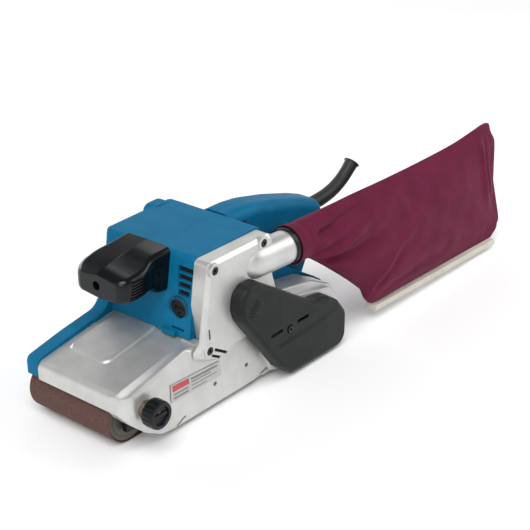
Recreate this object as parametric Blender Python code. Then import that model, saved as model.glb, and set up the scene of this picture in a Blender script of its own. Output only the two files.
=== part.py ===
"""Handheld belt sander with a side dust bag, as an assembly of separate pieces.

Everything is laid out in millimetres from the front roller's axis, on the sanding plane:
+X runs to the tool's rear, -Y to its left side (timing belt cover and dust bag), +Z up.
The empty SANDER carries every piece and puts the middle of the sanding face at the origin.
"""
import math

import bmesh
import bpy
from mathutils import Matrix, Vector

MM = 0.001
GAP = 0.3                      # between touching pieces
TILT_GAP = 0.6                 # room for the front roller to tilt inside the belt

# Sanding belt and its rollers
BELT_HALF = 50.0               # half the belt's width of 100
BELT_THICK = 1.0
FRONT_R = 23.0                 # inside of the belt round the front roller
REAR_R = 26.0                  # and round the rear, driven roller
ROLLER_SPACING = 225.0         # gives a belt 100 x 610 long
FRONT_C = (0.0, FRONT_R + BELT_THICK)
REAR_C = (ROLLER_SPACING, REAR_R + BELT_THICK)
ROLLER_HALF = 49.5
AXLE_R = 6.0

# Frame casting
WALL_OUT = -74.0               # outer face of the left side wall
WALL_SKIN = 3.5
WALL_IN = -52.0
PAD_OUT = -79.0                # raised land under the belt cover, and the side cover's face
RIM_IN = -72.5                 # inside of the raised edge between the wall and the deck
RIM_FOOT = -54.0               # where that edge comes down to the deck
DECK_FAR = 36.0                # the silver deck's far edge
DECK_TOP_END = 73.8            # where the deck meets the motor housing
SEAT_Z = 57.8                  # where the motor housing stands on the frame

# Motor
MOTOR = (118.0, 97.0)          # armature axis, along Y
MOTOR_BORE = 36.0
HOUSING_LEFT = -60.7
HOUSING_RIGHT = 51.0
REAR_FOOT, REAR_TOP = 167.0, 165.0   # X of the housing's rear face at its foot and top
SHAFT_R = 5.0
BRUSH_Y = -45.0
COMMUTATOR_R = 13.0

# Timing belt drive
TOOTH_PITCH = 3.0
SMALL_TEETH = 12
LARGE_TEETH = 40
COVER_FACE = -93.0             # outer face of the belt cover
PULLEY_NEAR, PULLEY_FAR = -90.4, -81.0

# Dust outlet
SPIGOT_R = 16.0
SPIGOT_BORE = 13.5
SPIGOT_START = (136.0, -70.0, 124.0)
SPIGOT_TURN = math.radians(4.0)     # the spigot points this far outwards from +X
SPIGOT_LENGTH = 57.0

# Dust bag's closing rail
RAIL_START = (308.0, -83.5, 15.7)
RAIL_DROP = math.radians(1.93)
RAIL_LENGTH = 226.5

# Handle
HANDLE_Y = -7.0                # its parting plane
HANDLE_HALF = 18.5

# Tracking adjuster
TRACK = (-3.0, 42.0)


def clear_scene():
    for old in list(bpy.data.objects):
        bpy.data.objects.remove(old, do_unlink=True)


def material(name, colour, roughness, metallic=0.0):
    made = bpy.data.materials.new(name)
    made.use_nodes = True
    shader = made.node_tree.nodes["Principled BSDF"]
    shader.inputs["Base Color"].default_value = (*colour, 1.0)
    shader.inputs["Roughness"].default_value = roughness
    shader.inputs["Metallic"].default_value = metallic
    return made


# ---------------------------------------------------------------- outlines

def rounded(corners, step=30):
    """Points of a closed outline whose corners (a, b, radius) are rounded with arcs.

    Arcs advance by `step` degrees; radii under 6 take coarser steps of 45.
    """
    points = []
    count = len(corners)
    for index, (a, b, radius) in enumerate(corners):
        here = Vector((a, b))
        if radius <= 0:
            points.append((a, b))
            continue
        before = (Vector(corners[index - 1][:2]) - here).normalized()
        after = (Vector(corners[(index + 1) % count][:2]) - here).normalized()
        opening = before.angle(after)
        reach = radius / math.tan(opening / 2)
        centre = here + (before + after).normalized() * (radius / math.sin(opening / 2))
        start = here + before * reach - centre
        turn = math.pi - opening
        if before.x * after.y - before.y * after.x > 0:
            turn = -turn
        pieces = max(1, round(abs(math.degrees(turn)) / (step if radius >= 6 else 45)))
        for piece in range(pieces + 1):
            angle = turn * piece / pieces
            x = start.x * math.cos(angle) - start.y * math.sin(angle)
            y = start.x * math.sin(angle) + start.y * math.cos(angle)
            points.append((centre.x + x, centre.y + y))
    return points


def arc(centre, radius, start, end, pieces):
    """Points along an arc, with angles in degrees."""
    angles = (math.radians(start + (end - start) * i / pieces) for i in range(pieces + 1))
    return [(centre[0] + radius * math.cos(t), centre[1] + radius * math.sin(t)) for t in angles]


def inset(points, amount):
    """The outline moved inwards by amount at every edge."""
    count = len(points)
    area = sum(points[i - 1][0] * points[i][1] - points[i][0] * points[i - 1][1]
               for i in range(count))
    side = 1 if area > 0 else -1
    moved = []
    for index, point in enumerate(points):
        here = Vector(point)
        into = (here - Vector(points[index - 1])).normalized()
        away = (Vector(points[(index + 1) % count]) - here).normalized()
        first = Vector((-into.y, into.x)) * side
        second = Vector((-away.y, away.x)) * side
        mitre = (first + second) / max(0.3, 1 + first.dot(second))
        moved.append(tuple(here + mitre * amount))
    return moved


def open_belt(front, front_r, rear, rear_r, pieces=12):
    """The outline of a belt drawn tight round two circles."""
    gap = Vector(rear) - Vector(front)
    along = math.degrees(math.atan2(gap.y, gap.x))
    wrap = math.degrees(math.acos((front_r - rear_r) / gap.length))
    loop = arc(front, front_r, along + wrap, along + 360 - wrap, pieces)
    return loop + arc(rear, rear_r, along - wrap, along + wrap, pieces)


def toothed(teeth, depth=1.0):
    """Outline round the origin of a timing pulley with flat-topped teeth."""
    tip = teeth * TOOTH_PITCH / math.tau - GAP
    tooth = math.tau / teeth
    points = []
    for number in range(teeth):
        start = number * tooth
        for share, radius in ((0.0, tip), (0.45, tip), (0.72, tip - depth)):
            angle = start + share * tooth
            points.append((radius * math.cos(angle), radius * math.sin(angle)))
    return points


def shifted(points, by):
    return [(a + by[0], b + by[1]) for a, b in points]


# ---------------------------------------------------------------- solids

ROOT = None
PLANES = {
    "Y": lambda a, b, along: (a, along, b),
    "X": lambda a, b, along: (along, a, b),
    "Z": lambda a, b, along: (a, b, along),
}


def place(name, bm, mat, origin=(0, 0, 0)):
    """Turn a bmesh laid out in millimetres into an object whose origin is at `origin`."""
    bmesh.ops.remove_doubles(bm, verts=bm.verts, dist=1e-4)
    bmesh.ops.recalc_face_normals(bm, faces=bm.faces)
    if bm.calc_volume(signed=True) < 0:
        bmesh.ops.reverse_faces(bm, faces=bm.faces)
    bm.transform(Matrix.Scale(MM, 4) @ Matrix.Translation(-Vector(origin)))
    mesh = bpy.data.meshes.new(name)
    bm.to_mesh(mesh)
    bm.free()
    mesh.shade_smooth()
    mesh.set_sharp_from_angle(angle=math.radians(30))
    made = bpy.data.objects.new(name, mesh)
    if mat:
        mesh.materials.append(mat)
    made.location = Vector(origin) * MM
    made.parent = ROOT
    bpy.context.collection.objects.link(made)
    return made


def bridge(bm, lower, upper):
    count = len(lower)
    for i in range(count):
        j = (i + 1) % count
        bm.faces.new((lower[i], lower[j], upper[j], upper[i]))


def stack(name, outline, levels, mat=None, axis="Y", origin=(0, 0, 0)):
    """Carry an outline through levels of (place along the axis, inset)."""
    bm = bmesh.new()
    rings = []
    for along, amount in levels:
        points = inset(outline, amount) if amount else outline
        rings.append([bm.verts.new(PLANES[axis](a, b, along)) for a, b in points])
    for lower, upper in zip(rings, rings[1:]):
        bridge(bm, lower, upper)
    bm.faces.new(rings[0])
    bm.faces.new(rings[-1])
    return place(name, bm, mat, origin)


def pillow(low, high, low_round, high_round, pieces=3):
    """Levels of a prism whose two ends are rounded by quarter circles."""
    def quarter(radius):
        angles = [math.pi / 2 * piece / pieces for piece in range(pieces + 1)] if radius else [0]
        return [(radius * (1 - math.cos(t)), radius * (1 - math.sin(t))) for t in angles]
    lows = [(low + along, amount) for along, amount in quarter(low_round)]
    highs = [(high - along, amount) for along, amount in quarter(high_round)]
    return lows + highs[::-1]


def ring_belt(name, outer, inner, low, high, mat):
    """A closed band between two outlines with the same number of points."""
    bm = bmesh.new()
    rows = []
    for points, along in ((outer, low), (outer, high), (inner, high), (inner, low)):
        rows.append([bm.verts.new((a, along, b)) for a, b in points])
    for index in range(4):
        bridge(bm, rows[index], rows[(index + 1) % 4])
    return place(name, bm, mat)


def block(name, low, high, mat=None, origin=(0, 0, 0)):
    outline = [(low[0], low[1]), (high[0], low[1]), (high[0], high[1]), (low[0], high[1])]
    return stack(name, outline, [(low[2], 0), (high[2], 0)], mat, "Z", origin)


def turned(name, profile, centre, mat=None, axis="Y", steps=18, origin=None):
    """Revolve a closed profile of (radius, along) about an axis through centre."""
    bm = bmesh.new()
    rings = []
    for step in range(steps):
        angle = math.tau * step / steps
        ring = []
        for radius, along in profile:
            a, b = radius * math.cos(angle), radius * math.sin(angle)
            if axis == "Y":
                spot = (centre[0] + a, along, centre[1] + b)
            elif axis == "X":
                spot = (along, centre[0] + a, centre[1] + b)
            else:
                spot = (centre[0] + a, centre[1] + b, along)
            ring.append(bm.verts.new(spot))
        rings.append(ring)
    count = len(profile)
    for step in range(steps):
        here, there = rings[step], rings[(step + 1) % steps]
        for i in range(count):
            j = (i + 1) % count
            if profile[i][0] == 0 and profile[j][0] == 0:
                continue
            if profile[i][0] == 0:
                bm.faces.new((here[i], there[j], here[j]))
            elif profile[j][0] == 0:
                bm.faces.new((here[i], there[i], here[j]))
            else:
                bm.faces.new((here[i], there[i], there[j], here[j]))
    if origin is None:
        origin = (0, 0, 0)
    return place(name, bm, mat, origin)


def rod(name, centre, radius, low, high, mat=None, axis="Y", steps=14, origin=None):
    return turned(name, [(0, low), (radius, low), (radius, high), (0, high)],
                  centre, mat, axis, steps, origin)


def screw(name, centre, head_at, head_high, shank_to, head_r, shank_r, mat, axis="Y"):
    """A pan-head screw along an axis; its head starts at head_at and is head_high deep."""
    way = 1 if shank_to > head_at else -1
    under = head_at + way * head_high
    profile = [(0, head_at), (head_r, head_at), (head_r, under), (shank_r, under),
               (shank_r, shank_to), (0, shank_to)]
    made = turned(name, profile, centre, mat, axis, steps=10)
    socket = rod(name + "_socket", centre, head_r * 0.45, head_at - way * 1, head_at + way * 1.4,
                 None, axis, steps=6)
    boolean(made, socket, "DIFFERENCE")
    return made


def tube(name, path, radii, mat, sides=12, origin=(0, 0, 0)):
    """A solid tube along path, whose radius follows radii, with flat ends."""
    bm = bmesh.new()
    rings = []
    for index, spot in enumerate(path):
        here = Vector(spot)
        ahead = Vector(path[min(index + 1, len(path) - 1)]) - Vector(path[max(index - 1, 0)])
        ahead.normalize()
        level = Vector((0, 1, 0))
        across = level - ahead * level.dot(ahead)
        across.normalize()
        up = ahead.cross(across)
        ring = []
        for side in range(sides):
            angle = math.tau * side / sides
            offset = across * math.cos(angle) + up * math.sin(angle)
            ring.append(bm.verts.new(here + offset * radii[index]))
        rings.append(ring)
    for lower, upper in zip(rings, rings[1:]):
        bridge(bm, lower, upper)
    bm.faces.new(rings[0])
    bm.faces.new(rings[-1])
    return place(name, bm, mat, origin)


def spring(name, centre, radius, wire, low, high, turns, mat, axis="Y", per_turn=7, sides=3):
    """A compression spring as one closed tube along a helix."""
    bm = bmesh.new()
    rings = []
    total = turns * per_turn
    for step in range(total + 1):
        angle = math.tau * step / per_turn
        along = low + wire + (high - low - 2 * wire) * step / total
        ring = []
        for side in range(sides):
            turn = math.tau * side / sides
            reach = radius + wire * math.cos(turn)
            height = along + wire * math.sin(turn)
            a, b = reach * math.cos(angle), reach * math.sin(angle)
            if axis == "Y":
                spot = (centre[0] + a, height, centre[1] + b)
            else:
                spot = (height, centre[0] + a, centre[1] + b)
            ring.append(bm.verts.new(spot))
        rings.append(ring)
    for lower, upper in zip(rings, rings[1:]):
        bridge(bm, lower, upper)
    bm.faces.new(rings[0])
    bm.faces.new(rings[-1])
    return place(name, bm, mat)


def boolean(target, tool, operation):
    """Cut, join or keep with a hidden tool; tools used in a row share one modifier."""
    tool.hide_render = True
    tool.display_type = "WIRE"
    last = target.modifiers[-1] if target.modifiers else None
    if last is None or last.operation != operation:
        last = target.modifiers.new(operation.title(), "BOOLEAN")
        last.operation = operation
        last.solver = "EXACT"
        last.operand_type = "COLLECTION"
        last.collection = bpy.data.collections.new(f"{target.name}_{len(target.modifiers)}")
    last.collection.objects.link(tool)


def cut(target, *tools):
    for tool in tools:
        boolean(target, tool, "DIFFERENCE")


def join(target, *tools):
    for tool in tools:
        boolean(target, tool, "UNION")


def hole(target, centre, radius, low, high, axis="Y", steps=14):
    cut(target, rod(f"{target.name}_hole", centre, radius, low, high, None, axis, steps))


def pocket(target, low, high):
    cut(target, block(f"{target.name}_pocket", low, high))


# ---------------------------------------------------------------- shared outlines

DECK_SLOPE = (70.5 - 57.0) / 86.0


def deck_z(x):
    """Height of the deck over the front roller, which rises to the motor housing."""
    return 57.0 + DECK_SLOPE * (x + 20.0)


def housing_front(z):
    """X of the motor housing's slanted front face."""
    return 80.0 - (147.0 - z) * 0.165


def cover_outline(grow=0.0):
    """The timing belt cover's face: two round ends, a flat foot and a straight top."""
    corners = [(100.6, 96.0, 16.0), (104.5, 84.0, 20.0), (156.5, 15.5, 10.0), (171.0, 3.0, 9.0),
               (254.5, 1.5, 14.0), (255.5, 36.0, 14.0), (243.0, 52.5, 8.0), (228.5, 61.8, 8.0),
               (214.0, 64.6, 0), (206.0, 65.2, 0), (127.0, 115.5, 12.0), (105.0, 116.0, 14.0)]
    return inset(rounded(corners), -grow)


# ---------------------------------------------------------------- frame

def base_frame(mats):
    """Cast frame: hollow left wall, sloping deck with a lip, shoe plate bed, bearing arms."""
    wall = rounded([(-24, 58, 4), (-24, 40, 0), (-19, 32, 0), (-3, 17.5, 6), (16, 7, 6), (30, 5.5, 0),
                    (139, 5, 0), (143, 7.5, 0), (148, 7.5, 0), (151, 4.5, 0), (240, 4.5, 14),
                    (258, 20, 14), (258, 52, 8), (251, 61.5, 6), (223, 75.5, 0), (176, 83, 3),
                    (170, 57.8, 0), (74, 57.8, 0), (74, 72, 0), (57, 72.3, 0), (50, 75.2, 3),
                    (-19, 59.6, 0)])
    made = stack("base_frame", wall, [(WALL_OUT, 2.0), (WALL_OUT + 1.2, 0.6), (WALL_OUT + 3, 0),
                                      (WALL_IN, 0)], mats["casting"])
    above = [(-30, deck_z(-30) - 1), (66, deck_z(66) - 1), (66, 90), (-30, 90)]
    cut(made, stack("above_deck", above, [(RIM_IN, 0), (WALL_IN + 0.1, 0)]))
    deck = [(-24, 55), (-20, 57), (DECK_TOP_END, deck_z(DECK_TOP_END)), (DECK_TOP_END, SEAT_Z),
            (172, SEAT_Z), (172, SEAT_Z - 3.4), (60, SEAT_Z - 3.4), (40, SEAT_Z - 3.2),
            (-6, 52), (-15, 50.6), (-20.5, 47), (-20.5, 40), (-24, 40)]
    far = stack("deck", deck, [(RIM_IN - 0.5, 0), (DECK_FAR, 0)])
    land = stack("pulley_land", land_outline(), [(PAD_OUT, 0.8), (PAD_OUT + 1, 0), (WALL_OUT + 1, 0)])
    join(made, far, land, deck_rim())
    inner = rounded([(-17, 51, 3), (-17, 40, 0), (1, 21, 6), (20, 11, 0), (206, 9.5, 0),
                     (250, 10, 10), (252, 50, 6), (222, 71, 0), (180, 77, 3), (172, 54, 0),
                     (70, 53.5, 0), (20, 54.5, 0)])
    cut(made, stack("wall_pocket", inner, [(WALL_OUT + WALL_SKIN, 0), (WALL_IN + 0.1, 0)]))
    boss = rod("bearing_boss", REAR_C, 18.5, WALL_OUT + 1, WALL_IN - 0.6, steps=20)
    bed = block("shoe_bed", (30, WALL_IN - 20, 4.4), (197, 46, 9.5))
    web = block("far_web", (45, 42, 9), (189, 45.6, 40))
    ribs = [block(f"rib_{x}", (x, WALL_IN - 19.7, 9), (x + 4, 43, 39.4)) for x in (94, 168)]
    guide = block("stem_guide", (45, -16, 9), (50, 43, 38.8))
    join(made, boss, bed, web, *ribs, guide)
    arm = stack("bearing_arm", rounded([(150, 14, 0), (225, 13, 12), (241, 15, 12), (241, 40, 12),
                                        (225, 41, 12), (150, 39, 0)]), [(50.3, 0), (54.6, 0)])
    link = block("arm_link", (152, 42, 14), (190, 51, 39))
    ears = [block(f"lever_ear_{z}", (66, 42, z), (81, 57, z + 3.6)) for z in (13.6, 31.0)]
    track = turned("tracking_boss", [(8.6, -70.5), (11.8, -70.5), (11.8, -76), (10.6, -77), (8.6, -77)],
                   TRACK, steps=20)
    join(made, arm, link, track, *ears)
    corner = rounded([(-24, 60, 0), (270, 60, 0), (270, -80, 0), (140, -80, 0), (140, -74.05, 0),
                      (-24, -74.05, 14)], 15)
    boolean(made, stack("plan_corner", corner, [(-1, 0), (100, 0)], axis="Z"), "INTERSECT")
    hole(made, REAR_C, 14.3, -71.7, WALL_IN + 6, steps=20)
    hole(made, REAR_C, AXLE_R + 1, -82, -70)
    hole(made, REAR_C, 10.3, 49, 56)
    hole(made, TRACK, 8.0, -78, -71.5)
    hole(made, TRACK, 3.4, -72.5, -69)
    pocket(made, (44, -7.4, 13.6), (51, 7.4, 34.4))
    pocket(made, (-20, -59, 12), (46, -45, 36))
    hole(made, (74, 51), 2.4, 12, 36, axis="Z", steps=12)
    pocket(made, (100, -69, 50), (136, -63, 60))
    for x, z in ((84.6, 26.0), (127.6, 26.2)):
        hole(made, (x, z), 2.0, -76, -69, steps=12)
    for low, high in (((34, 6.2), (46, 10.8)), ((145, 6.6), (157, 9.6))):
        slit = [(low[0], low[1]), (high[0], high[1]), (high[0] - 1, high[1] + 1.6),
                (low[0] - 1, low[1] + 1.6)]
        cut(made, stack("edge_slit", slit, [(-76, 0), (-72, 0)]))
    hole(made, (73.3, 66.0), 2.1, -76, -60, steps=12)
    hole(made, (168.0, 52.5), 2.1, -80, -69, steps=12)
    return made


def deck_rim():
    """Slope from the wall's high top edge down to the deck."""
    bm = bmesh.new()
    rings = []
    for x, top in ((-20, 58.8), (50, 74.6), (62, 71.7)):
        corners = [(RIM_IN - 0.9, deck_z(x) - 4), (RIM_IN - 0.9, top),
                   (RIM_FOOT, deck_z(x) - GAP), (RIM_FOOT, deck_z(x) - 4)]
        rings.append([bm.verts.new((x, y, z)) for y, z in corners])
    for lower, upper in zip(rings, rings[1:]):
        bridge(bm, lower, upper)
    bm.faces.new(rings[0])
    bm.faces.new(rings[-1])
    bmesh.ops.triangulate(bm, faces=bm.faces)
    return place("deck_rim", bm, None)


def land_outline():
    """The raised land of the left wall round the lower part of the belt cover."""
    return rounded([(150, 26, 4), (155, 10, 6), (168, 4.8, 6), (240, 4.8, 14), (257, 20, 14),
                    (257, 50, 10), (244, 62, 8), (176, 76, 3), (170, 57, 0), (150, 57, 3)])


def side_guard(mats):
    """Blue arm over the deck's far edge, from the front lip back to the motor housing."""
    outline = rounded([(-24, 58, 4), (-24, 41, 1.6), (-20.6, 41, 0), (-20.6, 49, 0), (-8, 53.4, 0),
                       (73.6, 54.5, 0), (housing_front(64) - 0.6, 76, 5), (60, 73.5, 8), (16, 66.5, 0)])
    return stack("side_guard", outline, pillow(DECK_FAR + GAP, 50.0, 1.0, 1.4, 2), mats["blue"])


def name_plate(mats):
    outline = [(27.5, 32.6), (93.0, 31.8), (90.0, 47.2), (27.4, 50.5)]
    return stack("name_plate", outline, [(-74.9, 0), (-74.35, 0)], mats["plate"])


def shoe(mats):
    block("shoe_plate", (26, -48, 2.7), (201, 46, 4.1), mats["steel"])
    block("shoe_pad", (26, -48, 1.3), (201, 46, 2.4), mats["cork"])


# ---------------------------------------------------------------- sanding belt and rollers

def sanding_belt(mats):
    outer = open_belt(FRONT_C, FRONT_R + BELT_THICK, REAR_C, REAR_R + BELT_THICK)
    inner = open_belt(FRONT_C, FRONT_R, REAR_C, REAR_R)
    ring_belt("sanding_belt", outer, inner, -BELT_HALF, BELT_HALF, mats["abrasive"])


def roller(name, centre, radius, bore, mat):
    end = ROLLER_HALF
    profile = [(bore, -end + 3), (radius - 5, -end + 3), (radius - 3.5, -end), (radius, -end),
               (radius, end), (radius - 3.5, end), (radius - 5, end - 3), (bore, end - 3)]
    turned(name, profile, centre, mat, steps=24, origin=(centre[0], 0, centre[1]))


def front_idler(mats):
    """Front roller on its axle, held by a fork that slides to slacken the belt."""
    roller("front_roller", FRONT_C, FRONT_R - TILT_GAP, AXLE_R + GAP, mats["roller"])
    turned("front_axle", [(0, -57.5), (AXLE_R - 1, -57.5), (AXLE_R, -56.5), (AXLE_R, 56.5),
                          (AXLE_R - 1, 57.5), (0, 57.5)], FRONT_C, mats["steel"],
           origin=(FRONT_C[0], 0, FRONT_C[1]))
    top_view = [(-9, -56), (35, -56), (35, -7), (62, -7), (62, 7), (35, 7), (35, 56), (-9, 56),
                (-9, 51), (27, 51), (27, -51), (-9, -51)]
    fork = stack("roller_yoke", top_view, [(14, 0), (34, 0)], mats["steel"], "Z",
                 origin=(35, 0, 24))
    hole(fork, FRONT_C, AXLE_R + 1.2, -58, 58)
    cut(fork, rod("yoke_room", FRONT_C, 24.5, -50.6, 50.6, steps=20))
    spring("tension_spring", (0, 24), 5.2, 0.9, 62.4, 93.6, 5, mats["spring"], axis="X")


def tension_lever(mats):
    """Lever on the far side that pulls the front roller back to free the belt."""
    outline = arc((74, 51), 4.4, 90, 270, 6) + [(128, 47.4), (140, 51), (141, 56), (134, 55.5),
                                                 (126, 52.0), (78, 52.6)]
    made = stack("tension_lever", outline, [(17.6, 0), (30.6, 0)], mats["black"], "Z",
                 origin=(74, 51, 24))
    hole(made, (74, 51), 2.4, 16, 32, axis="Z", steps=12)
    screw("lever_pivot", (74, 51), 37.4, 2.6, 13.9, 3.4, 2.0, mats["steel"], axis="Z")


def tracking(mats):
    """Knob, screw and spring that steer the belt by tilting the front roller."""
    at = (TRACK[0], 0, TRACK[1])
    body = turned("tracking_knob", [(3.3, -80.4), (11.2, -80.4), (12.4, -81.6), (12.4, -92.0),
                                    (11.2, -93.4), (7.0, -93.4), (6.4, -90.6), (3.3, -90.6)],
                  TRACK, mats["black"], steps=20, origin=at)
    for number in range(8):
        angle = math.tau * number / 8
        spot = (TRACK[0] + 13.3 * math.cos(angle), TRACK[1] + 13.3 * math.sin(angle))
        hole(body, spot, 1.7, -95, -79, steps=6)
    turned("tracking_screw", [(0, -90.2), (3.0, -90.2), (3.0, -57.0), (2.0, -56.0), (0, -56.0)],
           TRACK, mats["steel"], steps=16, origin=at)
    spring("tracking_spring", TRACK, 5.6, 0.9, -80.1, -71.8, 3, mats["spring"])


# ---------------------------------------------------------------- drive

def drive(mats):
    at = (REAR_C[0], 0, REAR_C[1])
    roller("drive_roller", REAR_C, REAR_R - GAP, AXLE_R + 2, mats["rubber"])
    turned("drive_shaft", [(0, PULLEY_NEAR), (AXLE_R - 1.5, PULLEY_NEAR), (AXLE_R - 1.5, -80), (AXLE_R, -79),
                           (AXLE_R, -52.5), (AXLE_R + 1.7, -51), (AXLE_R + 1.7, 49.5),
                           (AXLE_R, 50), (AXLE_R, 54.4), (0, 54.4)],
           REAR_C, mats["steel"], origin=at)
    bearing("drive_bearing_left", REAR_C, AXLE_R + GAP, 14.0, -71.4, -62.0, mats["steel"])
    bearing("drive_bearing_right", REAR_C, AXLE_R + GAP, 10.0, 50.5, 54.5, mats["steel"])
    pulley("large_pulley", REAR_C, LARGE_TEETH, AXLE_R - 1.2, at, mats["casting"])
    pulley("small_pulley", MOTOR, SMALL_TEETH, 2.8, (MOTOR[0], 0, MOTOR[1]), mats["steel"])
    pitch = TOOTH_PITCH / math.tau
    small, large = SMALL_TEETH * pitch, LARGE_TEETH * pitch
    ring_belt("timing_belt", open_belt(MOTOR, small + 1.4, REAR_C, large + 1.4),
              open_belt(MOTOR, small, REAR_C, large), PULLEY_NEAR + 0.6, PULLEY_FAR - 0.6,
              mats["rubber"])


def bearing(name, centre, inner, outer, low, high, mat):
    turned(name, [(inner, low), (outer, low), (outer, high), (inner, high)], centre, mat)


def pulley(name, centre, teeth, bore, origin, mat):
    outline = shifted(toothed(teeth), centre)
    made = stack(name, outline, [(PULLEY_NEAR, 0), (PULLEY_FAR, 0)], mat, origin=origin)
    hole(made, centre, bore, PULLEY_NEAR - 2, PULLEY_FAR + 2, steps=16)


def belt_cover(mats):
    """Moulded cover over the timing belt, open towards the frame."""
    made = stack("belt_cover", cover_outline(),
                 [(COVER_FACE, 4.0), (COVER_FACE + 1.2, 1.3), (COVER_FACE + 4, 0), (-79.3, -1.0)],
                 mats["black"])
    room = open_belt(MOTOR, 10.2, REAR_C, 21.6, 10)
    cut(made, stack("belt_room", room, [(PULLEY_NEAR - 0.6, 0), (-78, 0)]))
    hole(made, (168.0, 52.5), 2.3, -95, -78, steps=12)
    hole(made, (168.0, 52.5), 4.2, -95, -91.2, steps=16)
    for low, high in ((140.5, 157.5), (178.5, 195.5)):
        pocket(made, (low, -95, 54.6), (high, -91.8, 56.8))
    for number in range(5):
        angle = math.radians(35)
        centre = Vector((119.5, 92.0)) + Vector((math.sin(angle), math.cos(angle))) * (number - 2) * 3.6
        half = Vector((math.cos(angle), -math.sin(angle))) * -5.0
        thin = Vector((half.y, -half.x)).normalized() * 0.7
        groove = [tuple(centre + half + thin), tuple(centre - half + thin),
                  tuple(centre - half - thin), tuple(centre + half - thin)]
        cut(made, stack("rib_groove", groove, [(-94, 0), (-92.3, 0)]))
    screw("belt_cover_screw", (168.0, 52.5), -94.0, 2.4, -70.2, 3.6, 1.8, mats["steel"])


# ---------------------------------------------------------------- motor

def motor_housing(mats):
    """Moulded housing that holds the motor, with brush caps front and rear."""
    outline = rounded([(housing_front(147), 147, 5.5), (housing_front(72.8), 72.8, 0), (74.6, 72.8, 0),
                       (74.6, SEAT_Z + GAP, 0), (REAR_FOOT, SEAT_Z + GAP, 0), (REAR_TOP, 148.5, 5.5)])
    made = stack("motor_housing", outline, pillow(HOUSING_LEFT, HOUSING_RIGHT, 0, 5, 2), mats["blue"])
    bump = stack("fan_bulge", rounded([(136, 112, 8), (162.5, 112, 8), (162.5, 147.5, 8), (136, 147, 8)]),
                 pillow(45, 60.5, 0, 4, 2))
    tab = block("lip_tab", (64.2, -46, 72.8), (72, -30, 77.0))
    join(made, bump, tab)
    hole(made, MOTOR, MOTOR_BORE, -62, 41, steps=24)
    hole(made, MOTOR, 11.3, 40, 48.5, steps=18)
    for number in range(4):
        top = 136.2 - 7.0 * number
        pocket(made, (60, -57.5 + 1.2 * number, top - 4.4), (88, -42.5 - 0.6 * number, top))
    pocket(made, (60, -53.6, 77.6), (90, -38.5, 80.0))
    hole(made, (BRUSH_Y, 97.0), 8.9, 60, 90, axis="X", steps=18)
    hole(made, (BRUSH_Y, 97.0), 8.9, 150, 175, axis="X", steps=18)
    for number in range(5):
        x = 94.0 + 10.0 * number
        pocket(made, (x, 38, 80), (x + 5, 53, 108))
    for x, z in ((82.7, 139.8), (147.9, 142.6)):
        hole(made, (x, z), 2.1, -62, -44, steps=12)
    hole(made, (-1.0, 127.0), 2.3, 60, 100, axis="X", steps=12)
    return made


def motor(mats):
    at = (MOTOR[0], 0, MOTOR[1])
    slots = []
    for number in range(12):
        start = math.tau * number / 12
        for share, radius in ((0.0, 19.8), (0.72, 19.8), (0.8, 15.0), (0.92, 15.0)):
            angle = start + share * math.tau / 12
            slots.append((radius * math.cos(angle), radius * math.sin(angle)))
    core = stack("armature_core", shifted(slots, MOTOR), [(-24, 0), (24, 0)], mats["steel"], origin=at)
    hole(core, MOTOR, SHAFT_R + GAP, -26, 26, steps=16)
    turned("armature_shaft", [(0, PULLEY_NEAR), (2.5, PULLEY_NEAR), (2.5, -80.0), (SHAFT_R, -79.0),
                              (SHAFT_R, 47.6), (0, 47.6)], MOTOR, mats["steel"], steps=14, origin=at)
    turned("commutator", [(SHAFT_R + GAP, -53), (COMMUTATOR_R, -53), (COMMUTATOR_R, -37),
                          (15.5, -36.5), (15.5, -34.5), (SHAFT_R + GAP, -34.5)],
           MOTOR, mats["brass"], origin=at)
    field = turned("field_core", [(21.0, -24), (35.5, -24), (35.5, 24), (21.0, 24)],
                   MOTOR, mats["steel"], steps=24)
    for way in (-1, 1):
        low, high = sorted((MOTOR[1] + way * 17, MOTOR[1] + way * 40))
        coil = [(MOTOR[0] - 11, low), (MOTOR[0] + 11, low), (MOTOR[0] + 11, high), (MOTOR[0] - 11, high)]
        cut(field, stack("winding_window", coil, [(-26, 0), (-14, 0)]))
    fan("cooling_fan", 31.0, 10, 28.6, 30.2, 39.6, mats["black"], at)
    fan("dust_fan", 29.0, 8, 26.5, -75.4, -66.0, mats["casting"], at)
    bearing("motor_bearing_left", MOTOR, SHAFT_R + GAP, 11.0, -60.3, -55.3, mats["steel"])
    bearing("motor_bearing_right", MOTOR, SHAFT_R + GAP, 11.0, 41.5, 47.5, mats["steel"])
    bracket = turned("end_bracket", [(11.3, -60.6), (MOTOR_BORE - GAP, -60.6), (MOTOR_BORE - GAP, -55.0),
                                     (11.3, -55.0)], MOTOR, mats["casting"], steps=24)
    for number in range(4):
        angle = math.tau * (number + 0.5) / 4
        spot = (MOTOR[0] + 23 * math.cos(angle), MOTOR[1] + 23 * math.sin(angle))
        hole(bracket, spot, 6, -62, -54, steps=8)


def fan(name, radius, blades, web_r, low, high, mat, origin):
    """Straight-bladed fan: a hub and blades standing on a disc."""
    points = []
    half = 0.055
    for number in range(blades):
        middle = math.tau * number / blades
        for turn, reach in ((-half * 3.2, 9.0), (-half, radius), (half, radius), (half * 3.2, 9.0)):
            points.append((reach * math.cos(middle + turn), reach * math.sin(middle + turn)))
    made = stack(name, shifted(points, MOTOR), [(low, 0), (high, 0)], mat, origin=origin)
    join(made, rod(name + "_disc", MOTOR, web_r, high - 1.6, high + 0.4, steps=16))
    hole(made, MOTOR, SHAFT_R + GAP, low - 2, high + 2, steps=16)


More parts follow.
